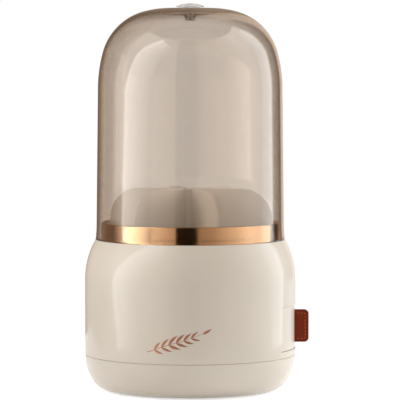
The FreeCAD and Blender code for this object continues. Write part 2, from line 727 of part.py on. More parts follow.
def make_drawer_tray():
    """Open tray with a runner along each side and a stop lip under its back."""
    tray = piece("drawer_tray", DRAWER)

    def plan(sketch, inset):
        """The tray's outline, drawn in by one formula."""
        side = f"({TRAY_SIDE} - {inset})"
        back = f"(-{TRAY_BACK} + {inset})"
        front = f"({TRAY_FRONT} - {inset})"
        turn = f"(tray_round - {inset})"
        outline(
            sketch,
            (front, f"-{side}"),
            (front, side),
            (f"{back} + {turn}", side), Bend(turn),
            (back, f"{side} - {turn}"),
            (back, f"-{side} + {turn}"), Bend(turn),
            (f"{back} + {turn}", f"-{side}"))

    outside = sketch_on(tray, "XY_Plane", "tray_outside")
    plan(outside, "0")
    pad(tray, outside, TRAY_HEIGHT)
    inside = sketch_on(tray, "XY_Plane", "tray_inside", TRAY_HEIGHT)
    plan(inside, "tray_wall")
    hollow = pocket(tray, inside, f"{TRAY_HEIGHT} - tray_floor")

    def floor_edge(edge):
        """An edge round the inside of the tray's floor."""
        return abs(edge.BoundBox.ZMax - number("tray_floor")) < TOUCH

    fillet(tray, hollow, "tray_bottom_round", floor_edge)

    runners = sketch_on(tray, "XY_Plane", "tray_runners", "runner_rise")
    for side in (1, -1):
        rectangle(runners, f"-{TRAY_BACK} + tray_round", f"{side} * ({TRAY_SIDE} - tray_wall / 2)",
                  RAIL_END, f"{side} * ({TRAY_SIDE} + runner_width)")
    pad(tray, runners, "runner_height")

    lip = sketch_on(tray, "XY_Plane", "tray_stop_lip")
    rectangle(lip, f"-{TRAY_BACK}", "-stop_width / 2",
              f"-{TRAY_BACK} + stop_thickness", "stop_width / 2")
    pad(tray, lip, "tray_rise - stop_clear", back=True)

    holes = sketch_on(tray, "YZ_Plane", "tray_front_holes", f"{TRAY_FRONT} + fit_gap")
    circles(holes, FRONT_SCREW_PLACES, SCREW_HOLE)
    pocket(tray, holes, "tray_wall + 2 * fit_gap")


def make_drawer_front():
    """Curved front, a slice of the body's wall, with screw posts and the clamp's flat land behind."""
    front = piece("drawer_front", DRAWER)
    side = "front_half_width"
    outer_edge = f"sqrt({FRONT_OUTER}^2 - {side}^2)"
    inner_edge = f"sqrt({FRONT_INNER}^2 - {side}^2)"
    face = sketch_on(front, "XY_Plane", "front_plan")
    outline(
        face,
        (inner_edge, f"-{side}"),
        (outer_edge, f"-{side}"), Bend(FRONT_OUTER),
        (outer_edge, side),
        (inner_edge, side), Bend(FRONT_INNER, -1))
    panel = pad(front, face, "front_height")

    def corner(edge):
        """An edge across the wall at one of the panel's four corners."""
        middle = edge.CenterOfMass
        across = abs(abs(middle.y) - number(side)) < TOUCH
        return across and min(abs(middle.z), abs(middle.z - number("front_height"))) < TOUCH

    def rim(edge):
        """An edge all of whose points lie on the panel's outer face."""
        ends = [math.hypot(point.X, point.Y) for point in edge.Vertexes]
        return min(ends) > number(FRONT_OUTER) - TOUCH

    rounded = fillet(front, panel, "front_round", corner)
    fillet(front, rounded, "edge_round", rim)

    land = sketch_on(front, "XY_Plane", "clamp_land", "tab_rise / 2")
    rectangle(land, LAND, "-flange_width / 2 - land_margin",
              f"{LAND} + shell_wall", "flange_width / 2 + land_margin")
    pad(front, land, "tab_height + tab_rise")
    posts = sketch_on(front, "YZ_Plane", "front_posts", TRAY_FRONT)
    circles(posts, FRONT_SCREW_PLACES, "front_post_radius")
    reach = f"sqrt({FRONT_INNER}^2 - ({FRONT_POST} - front_post_radius)^2)"
    pad(front, posts, f"{reach} + fit_gap - {TRAY_FRONT}")
    threads = sketch_on(front, "YZ_Plane", "front_threads", TRAY_FRONT)
    circles(threads, FRONT_SCREW_PLACES, THREAD_HOLE)
    pocket(front, threads, "front_screw_grip + thread_gap", ahead=True)
    slot = sketch_on(front, "YZ_Plane", "tab_slot", "body_radius")
    rectangle(slot, "-tab_thickness / 2 - fit_gap", "tab_rise - fit_gap",
              "tab_thickness / 2 + fit_gap", "tab_rise + tab_height + fit_gap")
    pocket(front, slot, "land_depth + shell_wall")
    clamp_threads = sketch_on(front, "YZ_Plane", "clamp_threads", LAND)
    circles(clamp_threads, CLAMP_SCREW_PLACES, SMALL_THREAD_HOLE)
    pocket(front, clamp_threads, "small_screw_grip + thread_gap", ahead=True)


def make_pull_tab():
    """Folded leather strip: the fold stands out of the slot and the ends spread behind the front."""
    tab = piece("pull_tab", f"{DRAWER} + tab_rise")
    half = "(tab_thickness / 2)"
    tip = "(body_radius + tab_reach)"
    spread = "(flange_width / 2)"
    section = sketch_on(tab, "XY_Plane", "tab_section")
    outline(
        section,
        (FLANGE, f"-{spread}"),
        (LAND, f"-{spread}"),
        (LAND, f"-{half}"),
        (f"{tip} - {half}", f"-{half}"), Bend(half),
        (tip, "0"), Bend(half),
        (f"{tip} - {half}", half),
        (LAND, half),
        (LAND, spread),
        (FLANGE, spread))
    pad(tab, section, "tab_height")

    corners = sketch_on(tab, "XZ_Plane", "tab_corners")
    outline(
        corners,
        (f"{tip} - tab_round", f"-{half}"),
        (f"{tip} + {half}", f"-{half}"),
        (f"{tip} + {half}", "tab_round"),
        (tip, "tab_round"), Bend("tab_round", -1),
        (f"{tip} - tab_round", "0"))
    outline(
        corners,
        (f"{tip} - tab_round", "tab_height"), Bend("tab_round", -1),
        (tip, "tab_height - tab_round"),
        (f"{tip} + {half}", "tab_height - tab_round"),
        (f"{tip} + {half}", f"tab_height + {half}"),
        (f"{tip} - tab_round", f"tab_height + {half}"))
    pocket(tab, corners)
    holes = sketch_on(tab, "YZ_Plane", "tab_holes", LAND)
    circles(holes, [(across, f"{up} - tab_rise") for across, up in CLAMP_SCREW_PLACES], SMALL_HOLE)
    pocket(tab, holes, "flange_thickness")


def make_tab_clamp():
    """Steel plate that presses the strip's spread ends against the drawer's front."""
    clamp = piece("tab_clamp", f"{DRAWER} + tab_rise")
    face = sketch_on(clamp, "YZ_Plane", "clamp_face", FLANGE)
    rectangle(face, "-flange_width / 2", "fit_gap", "flange_width / 2", "tab_height - fit_gap")
    circles(face, [(across, f"{up} - tab_rise") for across, up in CLAMP_SCREW_PLACES], SMALL_HOLE)
    pad(clamp, face, "clamp_thickness", back=True)


# ---------------------------------------------------------------- dome

def make_dome_cover():
    """Clear dome: a flared foot, a leaning wall, and a round crown with a dimple over a stub."""
    dome = piece("dome_cover", DECK)
    foot = f"({DECK_RADIUS} - dome_inset)"
    lower = f"({foot} - flare)"
    upper = f"({lower} - draft)"
    flare_arc = "(((flare_height - edge_round)^2 + flare^2) / (2 * flare))"
    # Centres of the three arcs of the crown, outwards from the straight wall
    side_x = f"({upper} - side_arc)"
    crown_x = f"({side_x} + (side_arc - crown_arc) * cos(side_turn))"
    top_arc = f"(crown_arc + ({crown_x} - crest_radius) / cos(crown_turn))"
    top_z = f"(dome_height - {top_arc})"
    crown_z = f"({top_z} + ({top_arc} - crown_arc) * sin(crown_turn))"
    side_z = f"({crown_z} - (side_arc - crown_arc) * sin(side_turn))"
    # The dimple is two equal arcs, one over and one under, from the crest down to the knob's seat,
    # and the stub's own fillet takes the inside down
    run = "(crest_radius - dimple_seat)"
    roll = f"(({run}^2 + dimple_depth^2) / (4 * dimple_depth))"
    lean = f"(2 * atan(dimple_depth / {run}))"
    seat = "(dome_height - dimple_depth)"
    hole = "(peg_radius + peg_gap)"
    hole_end = f"({seat} - peg_length - peg_gap)"
    stub_end = "(dome_height - stub_drop)"

    def on_arc(centre_x, centre_z, radius, degrees, inset):
        """A point of one arc, moved in by the wall or by nothing."""
        return (f"{centre_x} + ({radius} - {inset}) * cos({degrees})",
                f"{centre_z} + ({radius} - {inset}) * sin({degrees})")

    section = sketch_on(dome, "XZ_Plane", "dome_section")
    outline(
        section,
        (f"{foot} - dome_wall + edge_round", "0"),
        (f"{foot} - edge_round", "0"), Bend("edge_round"),
        (foot, "edge_round"), Bend(flare_arc, -1),
        (lower, "flare_height"),
        (upper, side_z), Bend("side_arc"),
        on_arc(side_x, side_z, "side_arc", "side_turn", "0"), Bend("crown_arc"),
        on_arc(crown_x, crown_z, "crown_arc", "crown_turn", "0"), Bend(top_arc),
        ("crest_radius", "dome_height"), Bend(roll),
        (f"crest_radius - {roll} * sin({lean})", f"dome_height - {roll} * (1 - cos({lean}))"),
        Bend(roll, -1),
        ("dimple_seat", seat),
        (hole, seat),
        (hole, hole_end),
        ("0", hole_end),
        ("0", stub_end),
        ("stub_radius - stub_round", stub_end), Bend("stub_round"),
        ("stub_radius", f"{stub_end} + stub_round"),
        ("stub_radius", "dome_height - dome_wall - stub_root"), Bend("stub_root", -1),
        ("stub_radius + stub_root", "dome_height - dome_wall"),
        ("crest_radius", "dome_height - dome_wall"), Bend(f"{top_arc} - dome_wall", -1),
        on_arc(crown_x, crown_z, "crown_arc", "crown_turn", "dome_wall"),
        Bend("crown_arc - dome_wall", -1),
        on_arc(side_x, side_z, "side_arc", "side_turn", "dome_wall"),
        Bend("side_arc - dome_wall", -1),
        (f"{upper} - dome_wall", side_z),
        (f"{lower} - dome_wall", "flare_height"), Bend(f"{flare_arc} + dome_wall"),
        (f"{foot} - dome_wall", "edge_round"), Bend("edge_round"))
    revolve(dome, section)


def make_dome_knob():
    """Lens-shaped knob on a short stem, with a peg that goes into the dome's stub."""
    knob = piece("dome_knob", f"{DECK} + dome_height - dimple_depth")
    under = "(dimple_depth + knob_lift)"
    top = "(dimple_depth + knob_rise)"
    rim = "(knob_radius - knob_round)"
    swell = f"({top} - {under} - 2 * knob_round)"
    section = sketch_on(knob, "XZ_Plane", "knob_section")
    outline(
        section,
        ("0", "-peg_length"),
        ("peg_radius", "-peg_length"),
        ("peg_radius", "0"),
        ("stem_radius", "0"),
        ("stem_radius", under),
        (rim, under), Bend("knob_round"),
        ("knob_radius", f"{under} + knob_round"), Bend("knob_round"),
        (rim, f"{under} + 2 * knob_round"), Bend(f"({rim}^2 + {swell}^2) / (2 * {swell})"),
        ("0", top))
    revolve(knob, section)


# ---------------------------------------------------------------- assembly

make_foot_shell()
make_grip_disc()
make_race("lower_race", -1)
make_race("upper_race", 1)
make_ball_cage()
make_bearing_balls()
make_pivot_washer()
make_base_plate()
make_body_shell()
make_rail("left_rail", 1)
make_rail("right_rail", -1)
make_brush_cup()
make_collar_ring()
make_brush_divider()
make_drawer_tray()
make_drawer_front()
make_pull_tab()
make_tab_clamp()
make_dome_cover()
make_dome_knob()
screw_set("pivot_screw", "XY_Plane", "-spigot_length - washer_thickness", [("0", "0")],
          "washer_thickness + screw_grip - thread_gap", up=PLATE)
screw_set("plate_screws", "XY_Plane", "0", BOSS_PLACES, "plate_thickness + screw_grip", up=PLATE)
screw_set("cup_screws", "XY_Plane", "0", POST_PLACES, "plate_thickness + screw_grip", up=PLATE)
screw_set("rail_screws", "XY_Plane", "0", RAIL_SCREW_PLACES, "plate_thickness + rail_screw_grip", up=PLATE)
screw_set("divider_screw", "XY_Plane", "0", [("0", "0")], "cup_floor + screw_grip", up=CUP)
screw_set("front_screws", "YZ_Plane", f"{TRAY_FRONT} - tray_wall", FRONT_SCREW_PLACES,
          "tray_wall + front_screw_grip", up=DRAWER)
screw_set("tab_screws", "YZ_Plane", f"{FLANGE} - clamp_thickness", CLAMP_SCREW_PLACES,
          "clamp_thickness + flange_thickness + small_screw_grip", small=True, up=DRAWER)
doc.recompute()

# Nothing is written unless every object of the document came out sound
for thing in doc.Objects:
    if "Invalid" in thing.State or "Error" in thing.State:
        raise RuntimeError(f"{thing.Name} failed: {thing.State}")
    if thing.TypeId == "PartDesign::Pocket":
        removed = thing.BaseFeature.Shape.Volume - thing.Shape.Volume
        if removed < 0.01:
            raise RuntimeError(f"{thing.Name} cut nothing")

os.makedirs("parts", exist_ok=True)
pieces = [thing for thing in doc.Objects if thing.TypeId == "PartDesign::Body"]
for body in pieces:
    if body.Shape.isNull() or not body.Shape.isValid() or not body.Shape.Solids:
        raise RuntimeError(f"{body.Label} has no sound solid")
for body in pieces:
    body.Shape.exportStep(f"parts/{body.Label}.step")
    print(f"{body.Label:16s} solids {len(body.Shape.Solids):2d}  volume {body.Shape.Volume:9.0f} mm3")
print(len(pieces), "sub-parts written")
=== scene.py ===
# %% [markdown]
# # A turning brush pot with a smoked dome
# The pot is a cream moulded body that turns on a round foot. It holds brushes between the blades of a
# divider, has a rose gold collar, and is closed by a clear smoked dome. A drawer opens on its side by
# a leather tab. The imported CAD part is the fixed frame: everything here is built round it, in metres.

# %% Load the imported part
import json
import math

import bmesh
import bpy
import numpy as np
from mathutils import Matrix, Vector


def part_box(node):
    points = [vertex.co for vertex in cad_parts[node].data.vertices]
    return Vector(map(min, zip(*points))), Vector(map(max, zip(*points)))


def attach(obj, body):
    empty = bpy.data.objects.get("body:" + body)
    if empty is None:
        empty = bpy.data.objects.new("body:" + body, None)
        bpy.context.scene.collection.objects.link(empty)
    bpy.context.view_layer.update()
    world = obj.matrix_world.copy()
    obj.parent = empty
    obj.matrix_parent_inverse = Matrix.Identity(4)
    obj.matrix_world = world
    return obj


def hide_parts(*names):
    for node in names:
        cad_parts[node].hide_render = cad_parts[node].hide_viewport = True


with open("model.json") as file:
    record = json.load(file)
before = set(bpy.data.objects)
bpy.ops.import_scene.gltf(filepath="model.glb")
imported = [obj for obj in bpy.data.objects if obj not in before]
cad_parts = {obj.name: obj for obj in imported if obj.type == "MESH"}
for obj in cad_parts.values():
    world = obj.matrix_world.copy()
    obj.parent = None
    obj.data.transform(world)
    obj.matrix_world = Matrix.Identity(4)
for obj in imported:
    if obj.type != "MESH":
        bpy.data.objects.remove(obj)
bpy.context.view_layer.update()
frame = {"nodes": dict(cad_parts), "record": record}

# %% [markdown]
# ## Surfaces from whole arrays
# A turned piece such as a ring, a knob or a dome is one outline swung round an axis. It could be made
# with a Screw modifier, but here the points are worked out as one array, because the same grid of
# points also serves for strips and plates. A grid of points needs only one rule for its faces.

# %% Grids and revolved surfaces
MM = 0.001
TURNS = 192                 # steps round a turned piece
SAME_POINT = 1e-7           # points nearer than this, in metres, are sewn into one
NO_EDGE = 1e-8              # and edges shorter than this are taken out
NO_LENGTH = 1e-12           # keeps a division by a length of zero from failing


def grid_faces(rows, columns, rows_close=False, columns_close=False):
    """Quads between neighbours of a grid whose point (i, j) has the number i * columns + j."""
    i = np.arange(rows if rows_close else rows - 1)
    j = np.arange(columns if columns_close else columns - 1)
    i, j = np.meshgrid(i, j, indexing="ij")
    next_i, next_j = (i + 1) % rows, (j + 1) % columns
    quads = [i * columns + j, next_i * columns + j, next_i * columns + next_j, i * columns + next_j]
    return np.stack(quads, axis=-1).reshape(-1, 4)


def arc(centre, radius, start, end, steps):
    """Points on a circle: centre + radius * (cos t, sin t), with t from start to end in degrees."""
    t = np.radians(np.linspace(start, end, steps + 1))
    return np.stack([centre[0] + radius * np.cos(t), centre[1] + radius * np.sin(t)], axis=-1)


def softened(corners, radii, steps):
    """A closed outline whose corners are rounded: each corner becomes an arc tangent to both of its
    sides. The arc starts radius / tan(half the corner's angle) away from the corner."""
    corners = np.asarray(corners, float)
    before = np.roll(corners, 1, axis=0) - corners
    after = np.roll(corners, -1, axis=0) - corners
    before /= np.linalg.norm(before, axis=1, keepdims=True)
    after /= np.linalg.norm(after, axis=1, keepdims=True)
    half = np.arccos(np.clip((before * after).sum(1), -1, 1)) / 2
    radii = np.broadcast_to(np.asarray(radii, float), half.shape)
    middle = before + after
    middle /= np.maximum(np.linalg.norm(middle, axis=1, keepdims=True), NO_LENGTH)
    centre = corners + middle * (radii / np.sin(half))[:, None]
    start = corners + before * (radii / np.tan(half))[:, None] - centre
    end = corners + after * (radii / np.tan(half))[:, None] - centre
    t = np.linspace(0, 1, steps + 1)[None, :, None]
    sweep = (math.pi - 2 * half)[:, None, None]
    blend = (np.sin((1 - t) * sweep) * start[:, None] + np.sin(t * sweep) * end[:, None])
    return (centre[:, None] + blend / np.sin(sweep)).reshape(-1, 2)


def revolved(profile, turns=TURNS):
    """Points (i, j) of a closed profile (radius, height) swung about the upright axis:
    x = radius_i cos a_j, y = radius_i sin a_j, z = height_i, with a_j = 2 pi j / turns."""
    a = np.linspace(0, 2 * math.pi, turns, endpoint=False)
    radius, height = profile[:, :1], profile[:, 1:]
    points = np.stack([radius * np.cos(a), radius * np.sin(a), height + 0 * a], axis=-1)
    return points, grid_faces(len(profile), turns, rows_close=True, columns_close=True)


def add_piece(name, points, faces, finish, body, replaces=(), sharp=40):
    """A closed piece from arrays: doubles merged at its seams and poles, faces turned outwards."""
    mesh = bpy.data.meshes.new(name)
    mesh.from_pydata(np.reshape(points, (-1, 3)).tolist(), [], [list(face) for face in faces])
    sewn = bmesh.new()
    sewn.from_mesh(mesh)
    bmesh.ops.remove_doubles(sewn, verts=sewn.verts, dist=SAME_POINT)
    bmesh.ops.dissolve_degenerate(sewn, edges=sewn.edges, dist=NO_EDGE)
    bmesh.ops.recalc_face_normals(sewn, faces=sewn.faces)
    sewn.to_mesh(mesh)
    sewn.free()
    mesh.shade_smooth()
    mesh.set_sharp_from_angle(angle=math.radians(sharp))
    mesh.materials.append(finish)
    made = bpy.data.objects.new(name, mesh)
    bpy.context.scene.collection.objects.link(made)
    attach(made, body)
    if replaces:
        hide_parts(*replaces)
    print(name, "has", len(mesh.polygons), "faces and rides with the", body)


print("a turned piece has", TURNS, "steps round its axis, so", 360 / TURNS, "degrees to a step")


# %% [markdown]
# ## Node helpers
# Every finish is a small tree of shader nodes. One helper adds a node and fills its sockets, either
# with a plain value or with a wire from another node, so that each finish reads as a short list.

# %% Short ways to build node trees
def node(tree, kind, sockets=None, **settings):
    """Adds one node. sockets maps an input's name or number to a value or to another node's output."""
    made = tree.nodes.new("ShaderNode" + kind)
    for setting, value in settings.items():
        setattr(made, setting, value)
    for key, value in (sockets or {}).items():
        if isinstance(value, bpy.types.NodeSocket):
            tree.links.new(value, made.inputs[key])
        else:
            made.inputs[key].default_value = value
    return made


def colour(red, green, blue):
    """A colour picked as 0 to 255 screen values, made linear as the shaders expect: dark values are
    divided by 12.92, and all others are ((value + 0.055) / 1.055) to the power 2.4."""
    screen = np.array([red, green, blue]) / 255
    linear = np.where(screen <= 0.04045, screen / 12.92, ((screen + 0.055) / 1.055) ** 2.4)
    return (*linear.tolist(), 1.0)


def effect(name, inputs, outputs):
    """An empty node group with named inputs and outputs, and the sockets of its two end nodes."""
    tree = bpy.data.node_groups.new(name, "ShaderNodeTree")
    print("effect", name, "gives", [label for label, kind in outputs])
    for label, kind, value in inputs:
        socket = tree.interface.new_socket(label, in_out="INPUT", socket_type="NodeSocket" + kind)
        if value is not None:
            socket.default_value = value
    for label, kind in outputs:
        tree.interface.new_socket(label, in_out="OUTPUT", socket_type="NodeSocket" + kind)
    return tree, tree.nodes.new("NodeGroupInput").outputs, tree.nodes.new("NodeGroupOutput").inputs


def place(tree, group, sockets):
    """Puts a shared effect in a material and returns its outputs."""
    return node(tree, "Group", sockets, node_tree=group).outputs


def socket_name(key):
    """The Principled shader's own label for a keyword: coat_roughness is its Coat Roughness."""
    return key.replace("_", " ").title().replace("Ior", "IOR")


def new_finish(name, **sockets):
    """A material with its Principled shader's own sockets set, and the object's coordinates."""
    made = bpy.data.materials.new(name)
    made.use_nodes = True
    tree = made.node_tree
    shader = tree.nodes["Principled BSDF"]
    for key, value in sockets.items():
        shader.inputs[socket_name(key)].default_value = value
    print("finish", name)
    return made, tree, shader, node(tree, "TexCoord").outputs["Object"]


def bumped(tree, height, strength, distance):
    """The surface's normal, tilted by a height that stands up to distance metres high."""
    return node(tree, "Bump", {"Height": height, "Strength": strength, "Distance": distance}).outputs[0]


def connect(tree, shader, **sources):
    """Wires outputs to sockets of the Principled shader, such as base_color, roughness and normal."""
    for key, source in sources.items():
        tree.links.new(source, shader.inputs[socket_name(key)])


# %% [markdown]
# ## Shared effects
# No moulded or metal surface is quite even. Hands leave broad soft smears, cloths leave hair
# scratches, moulds leave a faint swell, and dust settles on what faces up. Each could be painted as a
# picture, but noise that is worked out from the place on the piece needs no picture and has no seams.
# Each effect is one node group, so that several finishes use it with their own strengths.

# %% Smears and hair scratches in the gloss
def make_handled_gloss():
    """Roughness = the plain value + broad smears + sparse hair scratches, each with its own strength."""
    tree, given, result = effect(
        "handled_gloss",
        [("Vector", "Vector", None), ("Roughness", "Float", 0.2), ("Smears", "Float", 0.05),
         ("Scratches", "Float", 0.05)],
        [("Roughness", "Float")])
    broad = node(tree, "TexNoise", {"Vector": given["Vector"], "Scale": 28.0, "Detail": 3.0,
                                    "Roughness": 0.55})
    broad_mask = node(tree, "MapRange", {"Value": broad.outputs["Fac"], "From Min": 0.35, "From Max": 0.7})
    turned = node(tree, "Mapping", {"Vector": given["Vector"], "Rotation": (0.5, 0.3, 0.9),
                                    "Scale": (40, 900, 900)})
    hairs = node(tree, "TexNoise", {"Vector": turned.outputs[0], "Scale": 1.0, "Detail": 2.0,
                                    "Distortion": 0.6})
    hair_mask = node(tree, "MapRange", {"Value": hairs.outputs["Fac"], "From Min": 0.66, "From Max": 0.74})
    smeared = node(tree, "Math", {0: broad_mask.outputs[0], 1: given["Smears"], 2: given["Roughness"]},
                   operation="MULTIPLY_ADD")
    scratched = node(tree, "Math", {0: hair_mask.outputs[0], 1: given["Scratches"], 2: smeared.outputs[0]},
                     operation="MULTIPLY_ADD")
    tree.links.new(scratched.outputs[0], result["Roughness"])
    return tree


handled_gloss = make_handled_gloss()


# %% Slow changes of shade and settled dust
DUST_COLOUR = colour(214, 208, 198)


def make_shade_and_dust():
    """Colour = the base, a little lighter or darker in soft clouds, then dust where the surface looks
    up, in specks."""
    tree, given, result = effect(
        "shade_and_dust",
        [("Vector", "Vector", None), ("Color", "Color", (0.8, 0.8, 0.8, 1)), ("Clouds", "Float", 0.03),
         ("Dust", "Float", 0.05)],
        [("Color", "Color")])
    clouds = node(tree, "TexNoise", {"Vector": given["Vector"], "Scale": 18.0, "Detail": 4.0})
    swing = node(tree, "MapRange", {"Value": clouds.outputs["Fac"], "From Min": 0.25, "From Max": 0.75,
                                    "To Min": -1.0, "To Max": 1.0})
    factor = node(tree, "Math", {0: swing.outputs[0], 1: given["Clouds"], 2: 1.0},
                  operation="MULTIPLY_ADD")
    shaded = node(tree, "VectorMath", {0: given["Color"], "Scale": factor.outputs[0]}, operation="SCALE")
    upright = node(tree, "SeparateXYZ", {0: node(tree, "NewGeometry").outputs["Normal"]})
    looks_up = node(tree, "MapRange", {"Value": upright.outputs["Z"], "From Min": 0.55, "From Max": 1.0})
    specks = node(tree, "TexNoise", {"Vector": given["Vector"], "Scale": 420.0, "Detail": 5.0,
                                     "Roughness": 0.7})
    speck_mask = node(tree, "MapRange", {"Value": specks.outputs["Fac"], "From Min": 0.45,
                                         "From Max": 0.75})
    settled = node(tree, "Math", {0: looks_up.outputs[0], 1: speck_mask.outputs[0]}, operation="MULTIPLY")
    amount = node(tree, "Math", {0: settled.outputs[0], 1: given["Dust"]}, operation="MULTIPLY")
    dusted = node(tree, "Mix", {"Factor": amount.outputs[0], 6: shaded.outputs[0], 7: DUST_COLOUR},
                  data_type="RGBA")
    tree.links.new(dusted.outputs[2], result["Color"])
    return tree


shade_and_dust = make_shade_and_dust()


# %% The faint swell of a moulded skin
def make_moulded_skin():
    """Height = a slow swell, as plastic shrinks in its mould, plus a fine texture of the tool's steel."""
    tree, given, result = effect(
        "moulded_skin",
        [("Vector", "Vector", None), ("Swell", "Float", 0.3), ("Texture", "Float", 0.2),
         ("Texture Scale", "Float", 1400.0)],
        [("Height", "Float")])
    swell = node(tree, "TexNoise", {"Vector": given["Vector"], "Scale": 60.0, "Detail": 1.0})
    fine = node(tree, "TexNoise", {"Vector": given["Vector"], "Scale": given["Texture Scale"],
                                   "Detail": 2.0})
    swell_part = node(tree, "Math", {0: swell.outputs["Fac"], 1: given["Swell"]}, operation="MULTIPLY")
    both = node(tree, "Math", {0: fine.outputs["Fac"], 1: given["Texture"], 2: swell_part.outputs[0]},
                operation="MULTIPLY_ADD")
    tree.links.new(both.outputs[0], result["Height"])
    return tree


moulded_skin = make_moulded_skin()


# %% Lines left by polishing on a lathe
ROUND_RATE = 0.0004         # how slowly a line changes on its way round, in metres to a radian


def make_turned_lines():
    """Height = noise at the point (distance from the axis, angle * ROUND_RATE, height). It changes
    quickly along the radius and the axis and slowly round them, so that it draws fine rings."""
    tree, given, result = effect(
        "turned_lines",
        [("Vector", "Vector", None), ("Lines per Metre", "Float", 3000.0)],
        [("Height", "Float")])
    parts = node(tree, "SeparateXYZ", {0: given["Vector"]})
    flat = node(tree, "CombineXYZ", {"X": parts.outputs["X"], "Y": parts.outputs["Y"]})
    out = node(tree, "VectorMath", {0: flat.outputs[0]}, operation="LENGTH")
    round_it = node(tree, "Math", {0: parts.outputs["Y"], 1: parts.outputs["X"]}, operation="ARCTAN2")
    slow = node(tree, "Math", {0: round_it.outputs[0], 1: ROUND_RATE}, operation="MULTIPLY")
    ring = node(tree, "CombineXYZ", {"X": out.outputs["Value"], "Y": slow.outputs[0],
                                     "Z": parts.outputs["Z"]})
    lines = node(tree, "TexNoise", {"Vector": ring.outputs[0], "Scale": given["Lines per Metre"],
                                    "Detail": 2.0})
    tree.links.new(lines.outputs["Fac"], result["Height"])
    return tree


turned_lines = make_turned_lines()

# %% [markdown]
# ## Plastics
# The outer shells are glossy ABS, the inner ones are the same plastic with a satin tool finish, and the
# slides are a harder milky plastic. Gloss plastic mirrors sharply over a soft, matt glow. One low
# roughness would make it all mirror, so the base is kept rough and a smooth clear coat lies over it.
# All of them share one recipe, so one function makes them, each with its own values.


# %% Moulded plastics
def make_plastic(name, base, roughness, gloss_coat, swell, texture, texture_scale=1400.0):
    """Opaque moulded plastic: cloudy colour, smeared gloss and a skin that swells a little."""
    made, tree, shader, where = new_finish(name, coat_weight=gloss_coat, coat_roughness=0.02, ior=1.45)
    tone = place(tree, shade_and_dust, {"Vector": where, "Color": base, "Clouds": 0.02, "Dust": 0.05})
    gloss = place(tree, handled_gloss, {"Vector": where, "Roughness": roughness, "Smears": 0.05,
                                        "Scratches": 0.06})
    skin = place(tree, moulded_skin, {"Vector": where, "Swell": swell, "Texture": texture,
                                      "Texture Scale": texture_scale})
    connect(tree, shader, base_color=tone["Color"], roughness=gloss["Roughness"],
            normal=bumped(tree, skin["Height"], strength=0.12, distance=0.2 * MM))
    return made


cream_shell = make_plastic("cream_shell", colour(227, 215, 200), roughness=0.50, gloss_coat=0.65,
                           swell=0.5, texture=0.05)
inner_plastic = make_plastic("inner_plastic", colour(243, 238, 231), roughness=0.38, gloss_coat=0.2,
                             swell=0.4, texture=0.5)
slide_plastic = make_plastic("slide_plastic", colour(206, 204, 198), roughness=0.45, gloss_coat=0.0,
                             swell=0.2, texture=0.5)

# %% [markdown]
# ## Rose gold
# The collar is a thin spun metal ring with a rose gold plating. A metal has no colour of its own apart
# from its reflections, so nearly all of its look comes from how sharp they are and from what stands
# round it. Anisotropy could stretch them, but real fine rings in a bump do it by themselves, and the
# plating is a shade paler in clouds. The steels inside are the same recipe, rougher and grey.


# %% Rose gold plating
def make_rose_gold():
    """Plated metal with turned lines and smears."""
    made, tree, shader, where = new_finish("rose_gold", metallic=1.0)
    tone = place(tree, shade_and_dust, {"Vector": where, "Color": colour(225, 190, 148), "Clouds": 0.05,
                                        "Dust": 0.0})
    gloss = place(tree, handled_gloss, {"Vector": where, "Roughness": 0.08, "Smears": 0.05,
                                        "Scratches": 0.08})
    lines = place(tree, turned_lines, {"Vector": where})
    connect(tree, shader, base_color=tone["Color"], roughness=gloss["Roughness"],
            normal=bumped(tree, lines["Height"], strength=0.10, distance=0.05 * MM))
    return made


rose_gold = make_rose_gold()


# %% Stamped foil
def make_foil():
    """Hot-stamped foil: metal that lies on satin plastic, so its gloss is uneven and a little dull."""
    made, tree, shader, where = new_finish("sprig_foil", metallic=1.0)
    tone = place(tree, shade_and_dust, {"Vector": where, "Color": colour(172, 118, 95), "Clouds": 0.1,
                                        "Dust": 0.0})
    gloss = place(tree, handled_gloss, {"Vector": where, "Roughness": 0.3, "Smears": 0.15,
                                        "Scratches": 0.1})
    skin = place(tree, moulded_skin, {"Vector": where, "Swell": 0.2, "Texture": 0.6,
                                      "Texture Scale": 1800.0})
    connect(tree, shader, base_color=tone["Color"], roughness=gloss["Roughness"],
            normal=bumped(tree, skin["Height"], strength=0.1, distance=0.1 * MM))
    return made


sprig_foil = make_foil()


# %% Steels of the turntable and of the screws
def make_steel(name, base, roughness, lines_strength):
    """Ground or plated steel."""
    made, tree, shader, where = new_finish(name, metallic=1.0)
    tone = place(tree, shade_and_dust, {"Vector": where, "Color": base, "Clouds": 0.08, "Dust": 0.0})
    gloss = place(tree, handled_gloss, {"Vector": where, "Roughness": roughness, "Smears": 0.08,
                                        "Scratches": 0.1})
    lines = place(tree, turned_lines, {"Vector": where, "Lines per Metre": 2200.0})
    connect(tree, shader, base_color=tone["Color"], roughness=gloss["Roughness"],
            normal=bumped(tree, lines["Height"], strength=lines_strength, distance=0.05 * MM))
    return made


bearing_steel = make_steel("bearing_steel", colour(196, 197, 200), roughness=0.22, lines_strength=0.3)
screw_steel = make_steel("screw_steel", colour(184, 182, 176), roughness=0.32, lines_strength=0.2)

# %% [markdown]
# ## Clear plastics
# The dome is a smoked acrylic bell with a real wall, so light bends at four surfaces on its way
# through. A darker tint alone would look like grey film. Here the smoke is an absorption inside the
# wall, which makes the edges darker by itself, because there the light runs a longer way through the
# plastic. Lamps reach what stands inside through a second, plain see-through shader that only shadow
# rays meet. The knob is a clearer plastic of the same kind, with a bloom in it like frosted ice.


